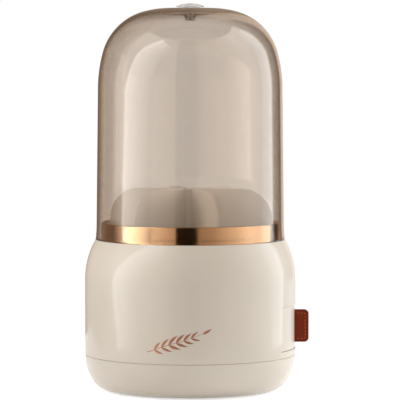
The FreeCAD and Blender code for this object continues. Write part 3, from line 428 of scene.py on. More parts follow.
# %% Smoked and clear acrylic
def make_acrylic(name, tint, smoke, density, shadow_tint, roughness, clarity):
    """Clear plastic: a transmitting shader with a tint, absorption in the wall with the colour smoke,
    and light for the inside in shadow_tint. clarity is the share of light that goes through."""
    made, tree, shader, where = new_finish(name, transmission_weight=clarity, ior=1.49,
                                           roughness=roughness, base_color=tint)
    skin = place(tree, moulded_skin, {"Vector": where, "Swell": 0.6, "Texture": 0.0})
    connect(tree, shader, normal=bumped(tree, skin["Height"], strength=0.05, distance=0.2 * MM))
    see_through = node(tree, "BsdfTransparent", {"Color": shadow_tint})
    shadow = node(tree, "LightPath").outputs["Is Shadow Ray"]
    both = node(tree, "MixShader", {0: shadow, 1: shader.outputs[0], 2: see_through.outputs[0]})
    absorbing = node(tree, "VolumeAbsorption", {"Color": smoke, "Density": density})
    ends = tree.nodes["Material Output"].inputs
    tree.links.new(both.outputs[0], ends["Surface"])
    tree.links.new(absorbing.outputs[0], ends["Volume"])
    return made


smoked_clear = make_acrylic("smoked_clear", tint=(0.90, 0.894, 0.879, 1), smoke=(0.61, 0.46, 0.32, 1),
                            density=230.0, shadow_tint=(0.97, 0.955, 0.94, 1), roughness=0.0, clarity=1.0)
clear_knob = make_acrylic("clear_knob", tint=(1, 1, 1, 1), smoke=(0.9, 0.9, 0.88, 1),
                          density=2.0, shadow_tint=(0.96, 0.96, 0.95, 1), roughness=0.12, clarity=0.65)

# %% [markdown]
# ## Leather and rubber
# The tab is a doubled strip of red-brown leather. Its grain is a net of small rounded cells. Plain
# noise has no cells, but a Voronoi pattern gives them: the distance to the nearest cell border is the
# height, and the creases between cells are darker. A little noise bends the net, so that no cell is a
# neat polygon. The foot's grip disc is matt rubber with fine specks.


# %% Leather grain
GRAIN_WANDER = 1.2 * MM     # how far the noise moves the net of cells
PORE_HEIGHT = 0.25          # height of the pores as a share of the cells'


def make_leather():
    """Grained leather with darker creases. Height = how far inside its cell a point lies, plus pores."""
    made, tree, shader, where = new_finish("brown_leather", ior=1.28)
    bent = node(tree, "TexNoise", {"Vector": where, "Scale": 300.0, "Detail": 2.0})
    moved = node(tree, "VectorMath", {0: bent.outputs["Color"], "Scale": GRAIN_WANDER}, operation="SCALE")
    shifted = node(tree, "VectorMath", {0: where, 1: moved.outputs[0]}, operation="ADD")
    cells = node(tree, "TexVoronoi", {"Vector": shifted.outputs[0], "Scale": 1500.0},
                 feature="DISTANCE_TO_EDGE")
    pores = node(tree, "TexNoise", {"Vector": where, "Scale": 2600.0, "Detail": 3.0})
    crease = node(tree, "MapRange", {"Value": cells.outputs["Distance"], "From Min": 0.0,
                                     "From Max": 0.28})
    height = node(tree, "Math", {0: pores.outputs["Fac"], 1: PORE_HEIGHT, 2: crease.outputs[0]},
                  operation="MULTIPLY_ADD")
    tone = place(tree, shade_and_dust, {"Vector": where, "Color": colour(148, 50, 8), "Clouds": 0.16,
                                        "Dust": 0.03})
    dark = node(tree, "Mix", {"Factor": crease.outputs[0], 6: colour(96, 30, 8), 7: tone["Color"]},
                data_type="RGBA")
    gloss = place(tree, handled_gloss, {"Vector": where, "Roughness": 0.42, "Smears": 0.12,
                                        "Scratches": 0.05})
    connect(tree, shader, base_color=dark.outputs[2], roughness=gloss["Roughness"],
            normal=bumped(tree, height.outputs[0], strength=0.5, distance=0.2 * MM))
    return made


brown_leather = make_leather()


# %% Waxed thread and rubber
def make_thread():
    """Waxed thread: a twist of fine slanting ridges along the stitch."""
    made, tree, shader, where = new_finish("tab_thread", roughness=0.55)
    tone = place(tree, shade_and_dust, {"Vector": where, "Color": colour(186, 98, 52), "Clouds": 0.1,
                                        "Dust": 0.0})
    twist = node(tree, "TexWave", {"Vector": where, "Scale": 900.0, "Distortion": 0.5},
                 bands_direction="DIAGONAL")
    connect(tree, shader, base_color=tone["Color"],
            normal=bumped(tree, twist.outputs["Fac"], strength=0.4, distance=0.05 * MM))
    return made


tab_thread = make_thread()
grip_rubber = make_plastic("grip_rubber", colour(46, 45, 44), roughness=0.7, gloss_coat=0.0, swell=0.2,
                           texture=1.0, texture_scale=2400.0)

# %% [markdown]
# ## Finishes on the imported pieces
# Most pieces, such as the shells, the drawer, the rails and the turntable, are shown just as the CAD
# part gives them. Each could be given its finish by hand, but the part's own record already says which
# one it has, so a loop over the record can't forget a piece.

# %% Finishes by the record's slots
FINISHES = {"cream_shell": cream_shell, "inner_plastic": inner_plastic, "rose_gold": rose_gold,
            "smoked_clear": smoked_clear, "clear_knob": clear_knob, "brown_leather": brown_leather,
            "grip_rubber": grip_rubber, "bearing_steel": bearing_steel, "screw_steel": screw_steel,
            "slide_plastic": slide_plastic}
for part in frame["record"]["subparts"]:
    cad_node = frame["nodes"][part["node"]]
    cad_node.data.materials.clear()
    cad_node.data.materials.append(FINISHES[part["material_slot"]])

# %% [markdown]
# ## The dome
# The bell is moulded in one piece, with an even wall. Its outline is a slightly spread foot, a wall
# that leans in a little, and three arcs that bend ever tighter and then flatter over the crown. Each
# arc starts in the direction in which the last one ended. A Solidify modifier could give a single
# sheet its wall, but it would round the foot's edge and the stub wrongly. Here the inner outline is the
# same arcs with the wall taken off, so it stays parallel.

# %% Outline of the dome's wall
dome_low, dome_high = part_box("dome_cover")
CREST = dome_high.z
DOME_WALL = 2.0 * MM
FLARE, FLARE_HEIGHT = 0.65 * MM, 12.0 * MM     # how far the foot spreads, and over what height
LEAN = 1.1 * MM                                 # how far the wall leans in above the flare
SIDE_ARC, SIDE_TURN = 101.7 * MM, 14.9          # radius, and degrees from upright where it ends
CROWN_ARC, CROWN_TURN = 41.4 * MM, 75.3
CREST_RADIUS = 14.5 * MM                        # where the outline runs level, and the dimple starts
FLARE_STEPS, SIDE_STEPS, CROWN_STEPS, TOP_STEPS = 6, 14, 26, 10


def dome_wall_outline(inset):
    """The dome from its foot to its crest, moved inwards by inset. Every arc keeps its centre, so
    radius - inset (or + inset where it curves the other way) keeps the two outlines parallel. The
    flare is an arc that moves in by FLARE over FLARE_HEIGHT, so its radius is
    (FLARE_HEIGHT^2 + FLARE^2) / (2 FLARE)."""
    lower, base = dome_high.x - FLARE, dome_low.z
    upper = lower - LEAN
    flare_arc = (FLARE_HEIGHT ** 2 + FLARE ** 2) / (2 * FLARE)
    spread = math.degrees(math.asin(FLARE_HEIGHT / flare_arc))
    side_turn, crown_turn = math.radians(SIDE_TURN), math.radians(CROWN_TURN)
    side_x = upper - SIDE_ARC
    crown_x = side_x + (SIDE_ARC - CROWN_ARC) * math.cos(side_turn)
    top_arc = CROWN_ARC + (crown_x - CREST_RADIUS) / math.cos(crown_turn)
    top_z = CREST - top_arc
    crown_z = top_z + (top_arc - CROWN_ARC) * math.sin(crown_turn)
    side_z = crown_z - (SIDE_ARC - CROWN_ARC) * math.sin(side_turn)
    return np.concatenate([
        arc((lower + flare_arc, base + FLARE_HEIGHT), flare_arc + inset, 180 + spread, 180, FLARE_STEPS),
        arc((side_x, side_z), SIDE_ARC - inset, 0, SIDE_TURN, SIDE_STEPS),
        arc((crown_x, crown_z), CROWN_ARC - inset, SIDE_TURN, CROWN_TURN, CROWN_STEPS)[1:],
        arc((CREST_RADIUS, top_z), top_arc - inset, CROWN_TURN, 90, TOP_STEPS)[1:]])


outside, inside = dome_wall_outline(0.0), dome_wall_outline(DOME_WALL)
print("the dome's wall is drawn by", len(outside), "points outside and", len(inside), "inside")

# %% [markdown]
# ## The middle of the crown
# The knob sits in a shallow dimple, and under it the inner side turns down, in one large fillet, into a
# stub that takes the knob's peg. Both could be cut out with booleans, but as parts of the one outline
# they cost nothing and stay smooth. The dimple's side is two equal arcs that bend opposite ways. For a
# dimple d deep whose side is w wide, each has the radius (w^2 + d^2) / (4 d) and turns by
# 2 atan(d / w).

# %% Dimple, stub and the whole dome
DIMPLE_DEPTH, DIMPLE_SEAT = 2.2 * MM, 5.0 * MM  # the seat is flat out to DIMPLE_SEAT
STUB, STUB_DROP = 3.6 * MM, 8.0 * MM            # radius, and depth of its end under the crest
STUB_ROOT, STUB_ROUND = 5.0 * MM, 0.6 * MM      # fillet at its root, and rounding of its end
PEG_HOLE, PEG_DEPTH = 1.95 * MM, 4.05 * MM
FOOT_FLATNESS = 0.5                             # height of the foot's round edge, 1 for a half circle
SEAT = CREST - DIMPLE_DEPTH


def make_dimple():
    """From the crest's edge down to the seat, and on down the peg's hole to its bottom."""
    width = CREST_RADIUS - DIMPLE_SEAT
    radius = (width ** 2 + DIMPLE_DEPTH ** 2) / (4 * DIMPLE_DEPTH)
    turn = math.degrees(2 * math.atan(DIMPLE_DEPTH / width))
    return np.concatenate([
        arc((CREST_RADIUS, CREST - radius), radius, 90, 90 + turn, TOP_STEPS)[1:],
        arc((DIMPLE_SEAT, SEAT + radius), radius, 270 + turn, 270, TOP_STEPS)[1:],
        np.array([[PEG_HOLE, SEAT], [PEG_HOLE, SEAT - PEG_DEPTH], [0, SEAT - PEG_DEPTH]])])


def make_stub():
    """From the axis, round the stub's lower edge and out along its root fillet to the inner crown."""
    end, root = CREST - STUB_DROP, CREST - DOME_WALL - STUB_ROOT
    return np.concatenate([
        np.array([[0, end]]),
        arc((STUB - STUB_ROUND, end + STUB_ROUND), STUB_ROUND, 270, 360, 6),
        arc((STUB + STUB_ROOT, root), STUB_ROOT, 180, 90, 16)])


def make_foot_edge():
    """A half circle between the two walls, pressed flatter, that stands on the body's deck."""
    edge = arc(((outside[0, 0] + inside[0, 0]) / 2, 0), DOME_WALL / 2, 180, 360, 8)
    edge[:, 1] = dome_low.z + (edge[:, 1] + DOME_WALL / 2) * FOOT_FLATNESS
    return edge


dome_profile = np.concatenate([outside[1:], make_dimple(), make_stub(), inside[:0:-1], make_foot_edge()])
points, faces = revolved(dome_profile)
add_piece("dome_shell", points, faces, smoked_clear, "dome", ["dome_cover"])
print("the dome is", round(2 * dome_high.x / MM, 1), "mm across at its foot")

# %% [markdown]
# ## The knob
# A turned clear knob sits in the dimple: a lens-shaped cap with a half-round rim, on a short stem, with
# a peg that goes into the stub. Stacked cylinders would leave hard steps that look cheap in clear
# plastic, so it is one closed outline swung round the axis. A lens cap of radius r that swells by h is
# part of a sphere of radius (r * r + h * h) / (2 * h).

# %% Knob
knob_low, knob_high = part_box("dome_knob")
STEM, PEG, KNOB_RIM = 4.4 * MM, 1.9 * MM, 0.6 * MM  # radii of the stem, the peg and the rim's half round
PEG_TIP, KNOB_EDGE = 0.4 * MM, 0.25 * MM        # roundings of the peg's end and of the stem
KNOB_LIFT = 0.4 * MM                            # underside above the dome's crest
REST_GAP = 0.02 * MM                            # thin air where the stem stands on its seat
KNOB_TURNS = 96


def make_knob_profile():
    """The peg, the stem, the half-round rim and the swelling cap, from the bottom to the top."""
    stand, under = SEAT + REST_GAP, CREST + KNOB_LIFT
    cap_edge, swell = knob_high.x - KNOB_RIM, knob_high.z - under - 2 * KNOB_RIM
    ball = (cap_edge ** 2 + swell ** 2) / (2 * swell)
    half_turn = math.degrees(math.asin(cap_edge / ball))
    return np.concatenate([
        [[0, knob_low.z]],
        arc((PEG - PEG_TIP, knob_low.z + PEG_TIP), PEG_TIP, 270, 360, 6),
        [[PEG, stand], [STEM - KNOB_EDGE, stand]],
        arc((STEM - KNOB_EDGE, stand + KNOB_EDGE), KNOB_EDGE, 270, 360, 6)[1:],
        arc((STEM + KNOB_EDGE, under - KNOB_EDGE), KNOB_EDGE, 180, 90, 6),
        arc((cap_edge, under + KNOB_RIM), KNOB_RIM, 270, 450, 12),
        arc((0, knob_high.z - ball), ball, 90 - half_turn, 90, 16)[1:]])


points, faces = revolved(make_knob_profile(), KNOB_TURNS)
add_piece("knob", points, faces, clear_knob, "dome", ["dome_knob"])

# %% [markdown]
# ## The collar
# The ring is spun from thin sheet: an upright band whose top edge rolls inwards over the cup's rim. A
# Bevel modifier would give all its edges one width. In the outline each corner has its own: the rolled
# top is wide, and the sheet's own edges are sharp.

# %% Collar ring
ring_low, ring_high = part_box("collar_ring")
BAND, LIP_REACH = 0.8 * MM, 3.8 * MM            # the sheet's thickness, and how far it rolls inwards
SHEET_EDGE, LIP_EDGE, ROLLED_TOP = 0.15 * MM, 0.3 * MM, 0.9 * MM
outer, inner, lip = ring_high.x, ring_high.x - BAND, ring_high.x - LIP_REACH
ring_corners = [(inner, ring_low.z), (outer, ring_low.z), (outer, ring_high.z), (lip, ring_high.z),
                (lip, ring_high.z - BAND), (inner, ring_high.z - BAND)]
ring_radii = [SHEET_EDGE, SHEET_EDGE, ROLLED_TOP, LIP_EDGE, LIP_EDGE, SHEET_EDGE]
points, faces = revolved(softened(ring_corners, ring_radii, 6))
add_piece("collar", points, faces, rose_gold, "pot", ["collar_ring"])

# %% [markdown]
# ## The divider
# Six thin blades stand round a core and keep the brushes apart. Each blade is a flat plate with a large
# quarter round at its outer top corner and a softened edge, which catches the light as a bright line.
# A Bevel modifier would round the edge too. Here the edge is part of the surface: a small half round is
# carried along the blade's outline, and the flat faces close it on both sides.


# %% A flat plate with a rounded edge
def inward(outline):
    """Unit vectors that point into a closed outline that runs counter-clockwise, at each of its points."""
    along = np.roll(outline, -1, axis=0) - np.roll(outline, 1, axis=0)
    along /= np.linalg.norm(along, axis=1, keepdims=True)
    return np.stack([-along[:, 1], along[:, 0]], axis=-1)


def plate(outline, profile):
    """A flat piece in the (a, b) plane with thickness along c. Point (i, j) is outline point i moved in
    by the profile's inset j, at the profile's height j. The profile runs from the face below, round
    the edge, to the face above, and the first and last rings are closed by one flat face each."""
    inset, height = profile[:, 0], profile[:, 1]
    flat = outline[:, None] + inward(outline)[:, None] * inset[None, :, None]
    points = np.concatenate([flat, np.broadcast_to(height, flat.shape[:2])[..., None]], axis=-1)
    faces = grid_faces(len(outline), len(profile), rows_close=True)
    rows = np.arange(len(outline)) * len(profile)
    lids = [rows[::-1].tolist(), (rows + len(profile) - 1).tolist()]
    return points.reshape(-1, 3), faces.tolist() + lids


def edge_round(half, radius, steps=5):
    """The profile of an edge rounded on both sides: (inset, height) from the lower to the upper face."""
    lower = arc((radius, -half + radius), radius, 270, 180, steps)
    upper = arc((radius, half - radius), radius, 180, 90, steps)
    return np.concatenate([lower, upper])


def together(parts):
    """One list of points and one of faces from several (points, faces) pairs."""
    all_points, all_faces, count = [], [], 0
    for points, faces in parts:
        points = np.reshape(points, (-1, 3))
        all_points.append(points)
        all_faces += [[corner + count for corner in face] for face in np.asarray(faces, object)]
        count += len(points)
    return np.concatenate(all_points), all_faces


# %% Divider
divider_low, divider_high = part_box("brush_divider")
BLADES, FIRST_BLADE = 6, 49.0                   # FIRST_BLADE in degrees from +X
BLADE, BLADE_SIDES = 1.4 * MM, 0.55 * MM        # thickness, and the rounding of the edge's two sides
BLADE_REACH = 59.2 * MM                         # from the axis to just inside the cup's wall
BLADE_ROUND, BLADE_FOOT = 22.0 * MM, 3.0 * MM   # top corner's radius, and lower corner's slope
BLADE_EDGE, FOOT_EDGE = 0.3 * MM, 1.0 * MM      # roundings of a blade's small corners
CORE, CORE_DROP, CORE_EDGE = 6.0 * MM, 0.05 * MM, 0.8 * MM  # radius, drop below the blades, top edge
ON_AXIS = 0.001 * MM                            # next to no rounding, where the outline meets the axis
CORE_TURNS = 64


def make_blade():
    """One upright blade in the plane of the X axis: its outline, with a plate's rounded edge."""
    base, top = divider_low.z, divider_high.z
    corners = [(CORE / 2, base), (BLADE_REACH - BLADE_FOOT, base), (BLADE_REACH, base + BLADE_FOOT),
               (BLADE_REACH, top), (CORE / 2, top)]
    outline = softened(corners, [BLADE_EDGE, FOOT_EDGE, FOOT_EDGE, BLADE_ROUND, BLADE_EDGE], 12)
    return plate(outline, edge_round(BLADE / 2, BLADE_SIDES))


def make_core():
    """The round core, a hair lower than the blades."""
    base, top = divider_low.z, divider_high.z - CORE_DROP
    corners = [(0, base), (CORE, base), (CORE, top), (0, top)]
    return revolved(softened(corners, [ON_AXIS, BLADE_EDGE, CORE_EDGE, ON_AXIS], 6), CORE_TURNS)


def swung(points, degrees):
    """Points (out, up, side) turned round the upright axis: x = out cos t - side sin t, and
    y = out sin t + side cos t."""
    t = math.radians(degrees)
    out, up, side = points.T
    return np.stack([out * math.cos(t) - side * math.sin(t), out * math.sin(t) + side * math.cos(t), up],
                    axis=-1)


blade_points, blade_faces = make_blade()
bearings = [FIRST_BLADE + number * 360 / BLADES for number in range(BLADES)]
blades = [(swung(blade_points, bearing), blade_faces) for bearing in bearings]
points, faces = together([*blades, make_core()])
add_piece("divider", points, faces, inner_plastic, "pot", ["brush_divider"])

# %% [markdown]
# ## The pull tab
# A strip of leather is folded, glued and stitched, and its cut edge is painted. Cloth simulation could
# fold a strip, but this one is pressed flat in a tool, so its form is known: the stand-out part is a
# plate with a painted, well rounded edge and a pressed crease a little way in. Behind the drawer's
# front the ends spread flat under a clamp.

# %% Pull tab
tab_low, tab_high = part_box("pull_tab")
TAB_HEIGHT = tab_high.z - tab_low.z
STRIP = 1.6 * MM                                # the leather's thickness, half of the folded tab's
TAB_ROUND, TAB_CUT = 3.2 * MM, 0.4 * MM         # roundings of the outer corners and of the hidden ones
PAINT_ROUND, PAINT_TURN = 0.9 * MM, 115         # painted edge: its radius, and where its arc ends
CREASE = np.array([[1.45, 1.50], [1.60, 1.36], [1.75, 1.34], [1.90, 1.42], [2.10, 1.50],
                   [2.50, 1.54]]) * MM          # (way in from the edge, half thickness) over the groove
ENDS_ROUND, ENDS_EDGE = 0.3 * MM, 0.2 * MM      # the spread ends' corners and upper and lower edges


def make_stand_out():
    """The folded part: a plate in the (x, z) plane. Its edge profile is an arc, then the crease, and
    the same again mirrored on the other face."""
    outline = softened([(tab_low.x, tab_low.z), (tab_high.x, tab_low.z), (tab_high.x, tab_high.z),
                        (tab_low.x, tab_high.z)], [TAB_CUT, TAB_ROUND, TAB_ROUND, TAB_CUT], 12)
    edge = arc((PAINT_ROUND, 0), PAINT_ROUND, 180, PAINT_TURN, 8)
    edge[:, 1] *= STRIP / edge[-1, 1]
    half = np.concatenate([edge, CREASE])
    flat_points, flat_faces = plate(outline, np.concatenate([half[::-1] * (1, -1), half[1:]]))
    return flat_points[:, [0, 2, 1]], flat_faces


def make_spread_ends():
    """The ends behind the front: a plate in the (x, y) plane that is as tall as the tab."""
    back, front = tab_low.x, tab_low.x + STRIP
    outline = softened([(back, tab_low.y), (front, tab_low.y), (front, tab_high.y), (back, tab_high.y)],
                       ENDS_ROUND, 4)
    profile = np.array([[ENDS_EDGE, 0], [0, ENDS_EDGE], [0, TAB_HEIGHT - ENDS_EDGE],
                        [ENDS_EDGE, TAB_HEIGHT]])
    return plate(outline, profile + (0, tab_low.z))


points, faces = together([make_stand_out(), make_spread_ends()])
add_piece("leather_tab", points, faces, brown_leather, "drawer", ["pull_tab"], sharp=60)

# %% [markdown]
# ## The stitches
# A waxed thread runs round the tab just inside its crease and shows as a row of short stitches on both
# faces. An Array modifier along a curve could repeat one stitch, but it bends each one round the
# corners. Thread is pulled straight, so each stitch is a straight spindle from hole to hole.


# %% Stitches
WALL_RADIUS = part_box("body_shell")[1].x
STITCH_IN = 2.5 * MM                            # row of stitches, in from the tab's edge
STITCH_END = WALL_RADIUS + 0.9 * MM             # where the rows end, just in front of the drawer
STITCH_FACE = 1.50 * MM                         # half the tab's thickness under the stitches
STITCH, STITCH_GAP, THREAD = 1.9 * MM, 0.55 * MM, 0.22 * MM  # length, space between, thread's radius
CORNER_SLACK = 0.6 * MM                         # the row rounds its corners wider than the edge does
THREAD_RISE, THREAD_SUNK = 0.9, 0.4             # in thread radii: its arch, and how far its ends sink
THREAD_TIP = 1e-6                               # radius left at a thread's ends, in metres


def along_path(path, distances):
    """Points at the given distances along a polyline, by linear interpolation of its running length."""
    steps = np.linalg.norm(np.diff(path, axis=0), axis=1)
    run = np.concatenate([[0], np.cumsum(steps)])
    return np.stack([np.interp(distances, run, path[:, k]) for k in range(path.shape[1])], axis=-1), run[-1]


def beside_line(along):
    """Unit vectors square to a line's directions, on its left."""
    along = along / np.linalg.norm(along, axis=1, keepdims=True)
    return np.stack([-along[:, 1], along[:, 0]], axis=-1)


def tube_faces(rows, columns):
    """Faces of a tube of rows rings with columns points each, and a lid at each end."""
    last = (rows - 1) * columns
    lids = [list(range(columns)), list(range(last + columns - 1, last - 1, -1))]
    return grid_faces(rows, columns, columns_close=True).tolist() + lids


def make_stitches(path, side):
    """Short threads along a path in the (x, z) plane. Thread point (u, v): its centre goes straight from
    hole to hole and rises by THREAD_RISE * sqrt(sin(pi u)) - THREAD_SUNK radii, and a circle of radius
    THREAD * (1 - (2u - 1)^6) runs round it, so that both ends dip into the leather."""
    total = along_path(path, np.array([0.0]))[1]
    count = int((total + STITCH_GAP) / (STITCH + STITCH_GAP))
    starts = (np.arange(count) + 0.5) * total / count - STITCH / 2
    u = np.linspace(0, 1, 11)
    v = np.linspace(0, 2 * math.pi, 8, endpoint=False)
    centre = along_path(path, (starts[:, None] + u[None] * STITCH).ravel())[0].reshape(count, len(u), 2)
    across = beside_line(centre[:, -1] - centre[:, 0])
    thick = THREAD * (1 - (2 * u - 1) ** 6) + THREAD_TIP
    arch = np.sqrt(np.sin(np.pi * np.clip(u, 0.001, 0.999)))
    rise = THREAD * THREAD_RISE * arch - THREAD * THREAD_SUNK
    flat = centre[:, :, None] + across[:, None, None] * (thick[:, None] * np.cos(v))[None, ..., None]
    height = side * (STITCH_FACE + rise[:, None] + thick[:, None] * np.sin(v))
    points = np.stack([flat[..., 0], np.broadcast_to(height, flat.shape[:3]), flat[..., 1]], axis=-1)
    return together([(one, tube_faces(len(u), len(v))) for one in points])


turn_in = TAB_ROUND - STITCH_IN + CORNER_SLACK
right, low, high = tab_high.x - STITCH_IN, tab_low.z + STITCH_IN, tab_high.z - STITCH_IN
stitch_path = np.concatenate([
    [[STITCH_END, low]], arc((right - turn_in, low + turn_in), turn_in, 270, 360, 8),
    arc((right - turn_in, high - turn_in), turn_in, 0, 90, 8), [[STITCH_END, high]]])
points, faces = together([make_stitches(stitch_path, side) for side in (-1, 1)])
add_piece("tab_stitches", points, faces, tab_thread, "drawer")

# %% [markdown]
# ## The leaf sprig
# The front carries a small hot-stamped sprig in rose gold foil. It could be a picture on the body, but
# that has soft edges and needs a picture file. Stamped foil has next to no thickness, so each leaf and
# the stem are lens-shaped slivers laid on the curved wall: drawn flat, in metres along the wall and up
# it, and then wrapped, where the distance along the wall becomes an angle.

# %% Slivers of foil on the wall
FOIL, FOIL_TIP = 0.03 * MM, 1e-6                # how far it stands out, and a tip's half width, in metres
SPRIG_PLACE, SPRIG_HEIGHT = -11.0 * MM, 40.6 * MM


def wrapped(flat, lift):
    """Flat (along, up) points laid on the wall: the angle is along / radius, and lift stands off it."""
    angle = (flat[..., 0] + SPRIG_PLACE) / WALL_RADIUS
    radius = WALL_RADIUS + lift
    return np.stack([radius * np.sin(angle), -radius * np.cos(angle), flat[..., 1] + SPRIG_HEIGHT],
                    axis=-1)


def sliver(line, half_width, sides=8):
    """A lens-shaped strip along a flat line: across = half_width(u) cos v, and lift = foil sin v."""
    across = beside_line(np.gradient(line, axis=0))
    v = np.linspace(0, 2 * math.pi, sides, endpoint=False)
    flat = line[:, None] + across[:, None] * (half_width[:, None] * np.cos(v))[..., None]
    lift = np.broadcast_to(FOIL * np.sin(v), flat.shape[:2])
    return wrapped(flat, lift), tube_faces(len(line), sides)


print("the sprig lies on a wall of", round(WALL_RADIUS / MM, 1), "mm radius")


# %% Stem and leaves
STEM_LENGTH, STEM_RISE, STEM_WAVE = 39.0 * MM, 13.0 * MM, 1.2 * MM
STEM_SWEEP = 0.9 * math.pi                      # part of a sine wave that the stem's rise follows
STEM_WIDTH, STEM_TAPER = 0.26 * MM, 0.6         # half width at the root, and how much is lost at the tip
PAIRS, FIRST_PAIR, PAIR_STEP = 6, 0.14, 0.78 / 5.6  # pairs of leaves, at these shares of the stem
LEAF_LENGTH, LEAF_WIDTH, LEAF_BEND = 9.6 * MM, 1.15 * MM, 24
LEAF_BELLY, LEAF_TAPER = 0.8, 0.25              # how near the root a leaf is widest, and how it narrows
LARGEST_AT, SHRINK = 0.45, 0.7                  # the pair at this share of the stem is the largest
OPEN_ANGLE, CLOSING, STEM_ANGLE = 50, 12, 14    # degrees: leaves open less towards the tip
TIP_LEAF = {"lean": 24, "length": 7.6 * MM, "width": 1.05 * MM, "bend": 10}


def leaf(root, lean, length, width, bend):
    """A pointed leaf: its midrib turns by bend degrees on the way, and its half width is
    width * sin(pi u^LEAF_BELLY) * (1 - LEAF_TAPER u)."""
    u = np.linspace(0, 1, 19)
    heading = np.radians(lean + bend * u)
    steps = np.stack([np.cos(heading), np.sin(heading)], axis=-1) * length / (len(u) - 1)
    rib = np.asarray(root) + np.cumsum(steps, axis=0) - steps[0]
    return sliver(rib, width * np.sin(np.pi * u ** LEAF_BELLY) * (1 - LEAF_TAPER * u) + FOIL_TIP)


def make_stem():
    """Points along the stem: up = STEM_RISE / 2 * sin(STEM_SWEEP * (u - 1/2)) + STEM_WAVE * sin(2 pi u)."""
    u = np.linspace(0, 1, 61)
    rise = STEM_RISE * (np.sin(STEM_SWEEP * (u - 0.5)) * 0.5) + STEM_WAVE * np.sin(2 * math.pi * u)
    return np.stack([(u - 0.5) * STEM_LENGTH, rise], axis=-1), STEM_WIDTH * (1 - STEM_TAPER * u)


def make_pair(stem, share):
    """Two leaves on both sides of the stem, at a share of its length."""
    root = along_path(stem, np.array([share * STEM_LENGTH]))[0][0]
    size = 1.0 - SHRINK * abs(share - LARGEST_AT)
    return [leaf(root, STEM_ANGLE + side * (OPEN_ANGLE - CLOSING * share), LEAF_LENGTH * size,
                 LEAF_WIDTH * size, -side * LEAF_BEND) for side in (1, -1)]


stem, stem_width = make_stem()
slivers = [sliver(stem, stem_width)]
for pair in range(PAIRS):
    slivers += make_pair(stem, FIRST_PAIR + pair * PAIR_STEP)
slivers.append(leaf(stem[-1], **TIP_LEAF))
points, faces = together(slivers)
add_piece("leaf_sprig", points, faces, sprig_foil, "pot", sharp=75)

# %% [markdown]
# ## A floor and a white room
# The piece stands on a plain pale floor in a white room. Strong lamps could burn an ordinary backdrop
# out to white, but they would burn out the cream body too. So the floor and the room use the Light Path
# node: they are plain white where they are looked at, also in metal and through glass, and light the
# piece only softly. A large floor would throw light up at the foot's edge, so this one is small.

# %% Studio pieces and the floor
FLOOR = 0.36                                    # half the floor's width
SHADOW_NEAR, SHADOW_FAR = 0.10, 0.30            # the floor's shadow fades out between these, in metres
FLOOR_LIFT = 0.62                               # glow that brings the matt floor up to near white
FLOOR_GREY = (0.85, 0.85, 0.85, 1)
WHITE = (1, 1, 1, 1)


def studio_piece(name, points, faces, paint):
    """A mesh of the studio, which isn't part of the brush pot."""
    mesh = bpy.data.meshes.new(name)
    mesh.from_pydata(points, [], faces)
    mesh.materials.append(paint)
    made = bpy.data.objects.new(name, mesh)
    bpy.context.scene.collection.objects.link(made)
    return made


def bare_paint(name):
    """A material without any node yet, and its tree."""
    paint = bpy.data.materials.new(name)
    paint.use_nodes = True
    paint.node_tree.nodes.clear()
    return paint, paint.node_tree


def looked_at(tree):
    """1 for a ray from the camera, a mirror or through glass, and 0 for a ray that gathers light."""
    path = node(tree, "LightPath").outputs
    seen = node(tree, "Math", {0: path["Is Camera Ray"], 1: path["Is Glossy Ray"]}, operation="MAXIMUM")
    return node(tree, "Math", {0: seen.outputs[0], 1: path["Is Transmission Ray"]},
                operation="MAXIMUM").outputs[0]


def make_floor():
    """A square floor. Near the piece it shows its shadow, and further out it melts into the white room."""
    paint, tree = bare_paint("floor_paint")
    away = node(tree, "VectorMath", {0: node(tree, "TexCoord").outputs["Object"]}, operation="LENGTH")
    near = node(tree, "MapRange", {"Value": away.outputs["Value"], "From Min": SHADOW_NEAR,
                                   "From Max": SHADOW_FAR, "To Min": 1.0, "To Max": 0.0},
                interpolation_type="SMOOTHSTEP")
    white = node(tree, "Emission", {"Color": WHITE, "Strength": 1.0})
    lift = node(tree, "Emission", {"Color": WHITE, "Strength": FLOOR_LIFT})
    matt = node(tree, "BsdfDiffuse", {"Color": FLOOR_GREY})
    shaded = node(tree, "AddShader", {0: lift.outputs[0], 1: matt.outputs[0]})
    shown = node(tree, "MixShader", {0: near.outputs[0], 1: white.outputs[0], 2: shaded.outputs[0]})
    both = node(tree, "MixShader", {0: looked_at(tree), 1: matt.outputs[0], 2: shown.outputs[0]})
    node(tree, "OutputMaterial", {"Surface": both.outputs[0]})
    corners = [(-FLOOR, -FLOOR, 0), (FLOOR, -FLOOR, 0), (FLOOR, FLOOR, 0), (-FLOOR, FLOOR, 0)]
    studio_piece("floor", corners, [[0, 1, 2, 3]], paint)
    print("the floor is", 2 * FLOOR, "m wide, and its shadow ends", SHADOW_FAR, "m from the middle")


make_floor()

# %% White room
ROOM_TINT, ROOM_LIGHT = (1.0, 0.96, 0.91, 1), 0.385


def make_room():
    """White wherever it is looked at, and a soft warm grey as light."""
    world = bpy.data.worlds.new("room")
    bpy.context.scene.world = world
    world.use_nodes = True
    tree = world.node_tree
    tree.nodes.clear()
    white = node(tree, "Background", {"Color": WHITE, "Strength": 1.0})
    soft = node(tree, "Background", {"Color": ROOM_TINT, "Strength": ROOM_LIGHT})
    both = node(tree, "MixShader", {0: looked_at(tree), 1: soft.outputs[0], 2: white.outputs[0]})
    node(tree, "OutputWorld", {"Surface": both.outputs[0]})
    print("the room gives", ROOM_LIGHT, "of its white as light")


make_room()

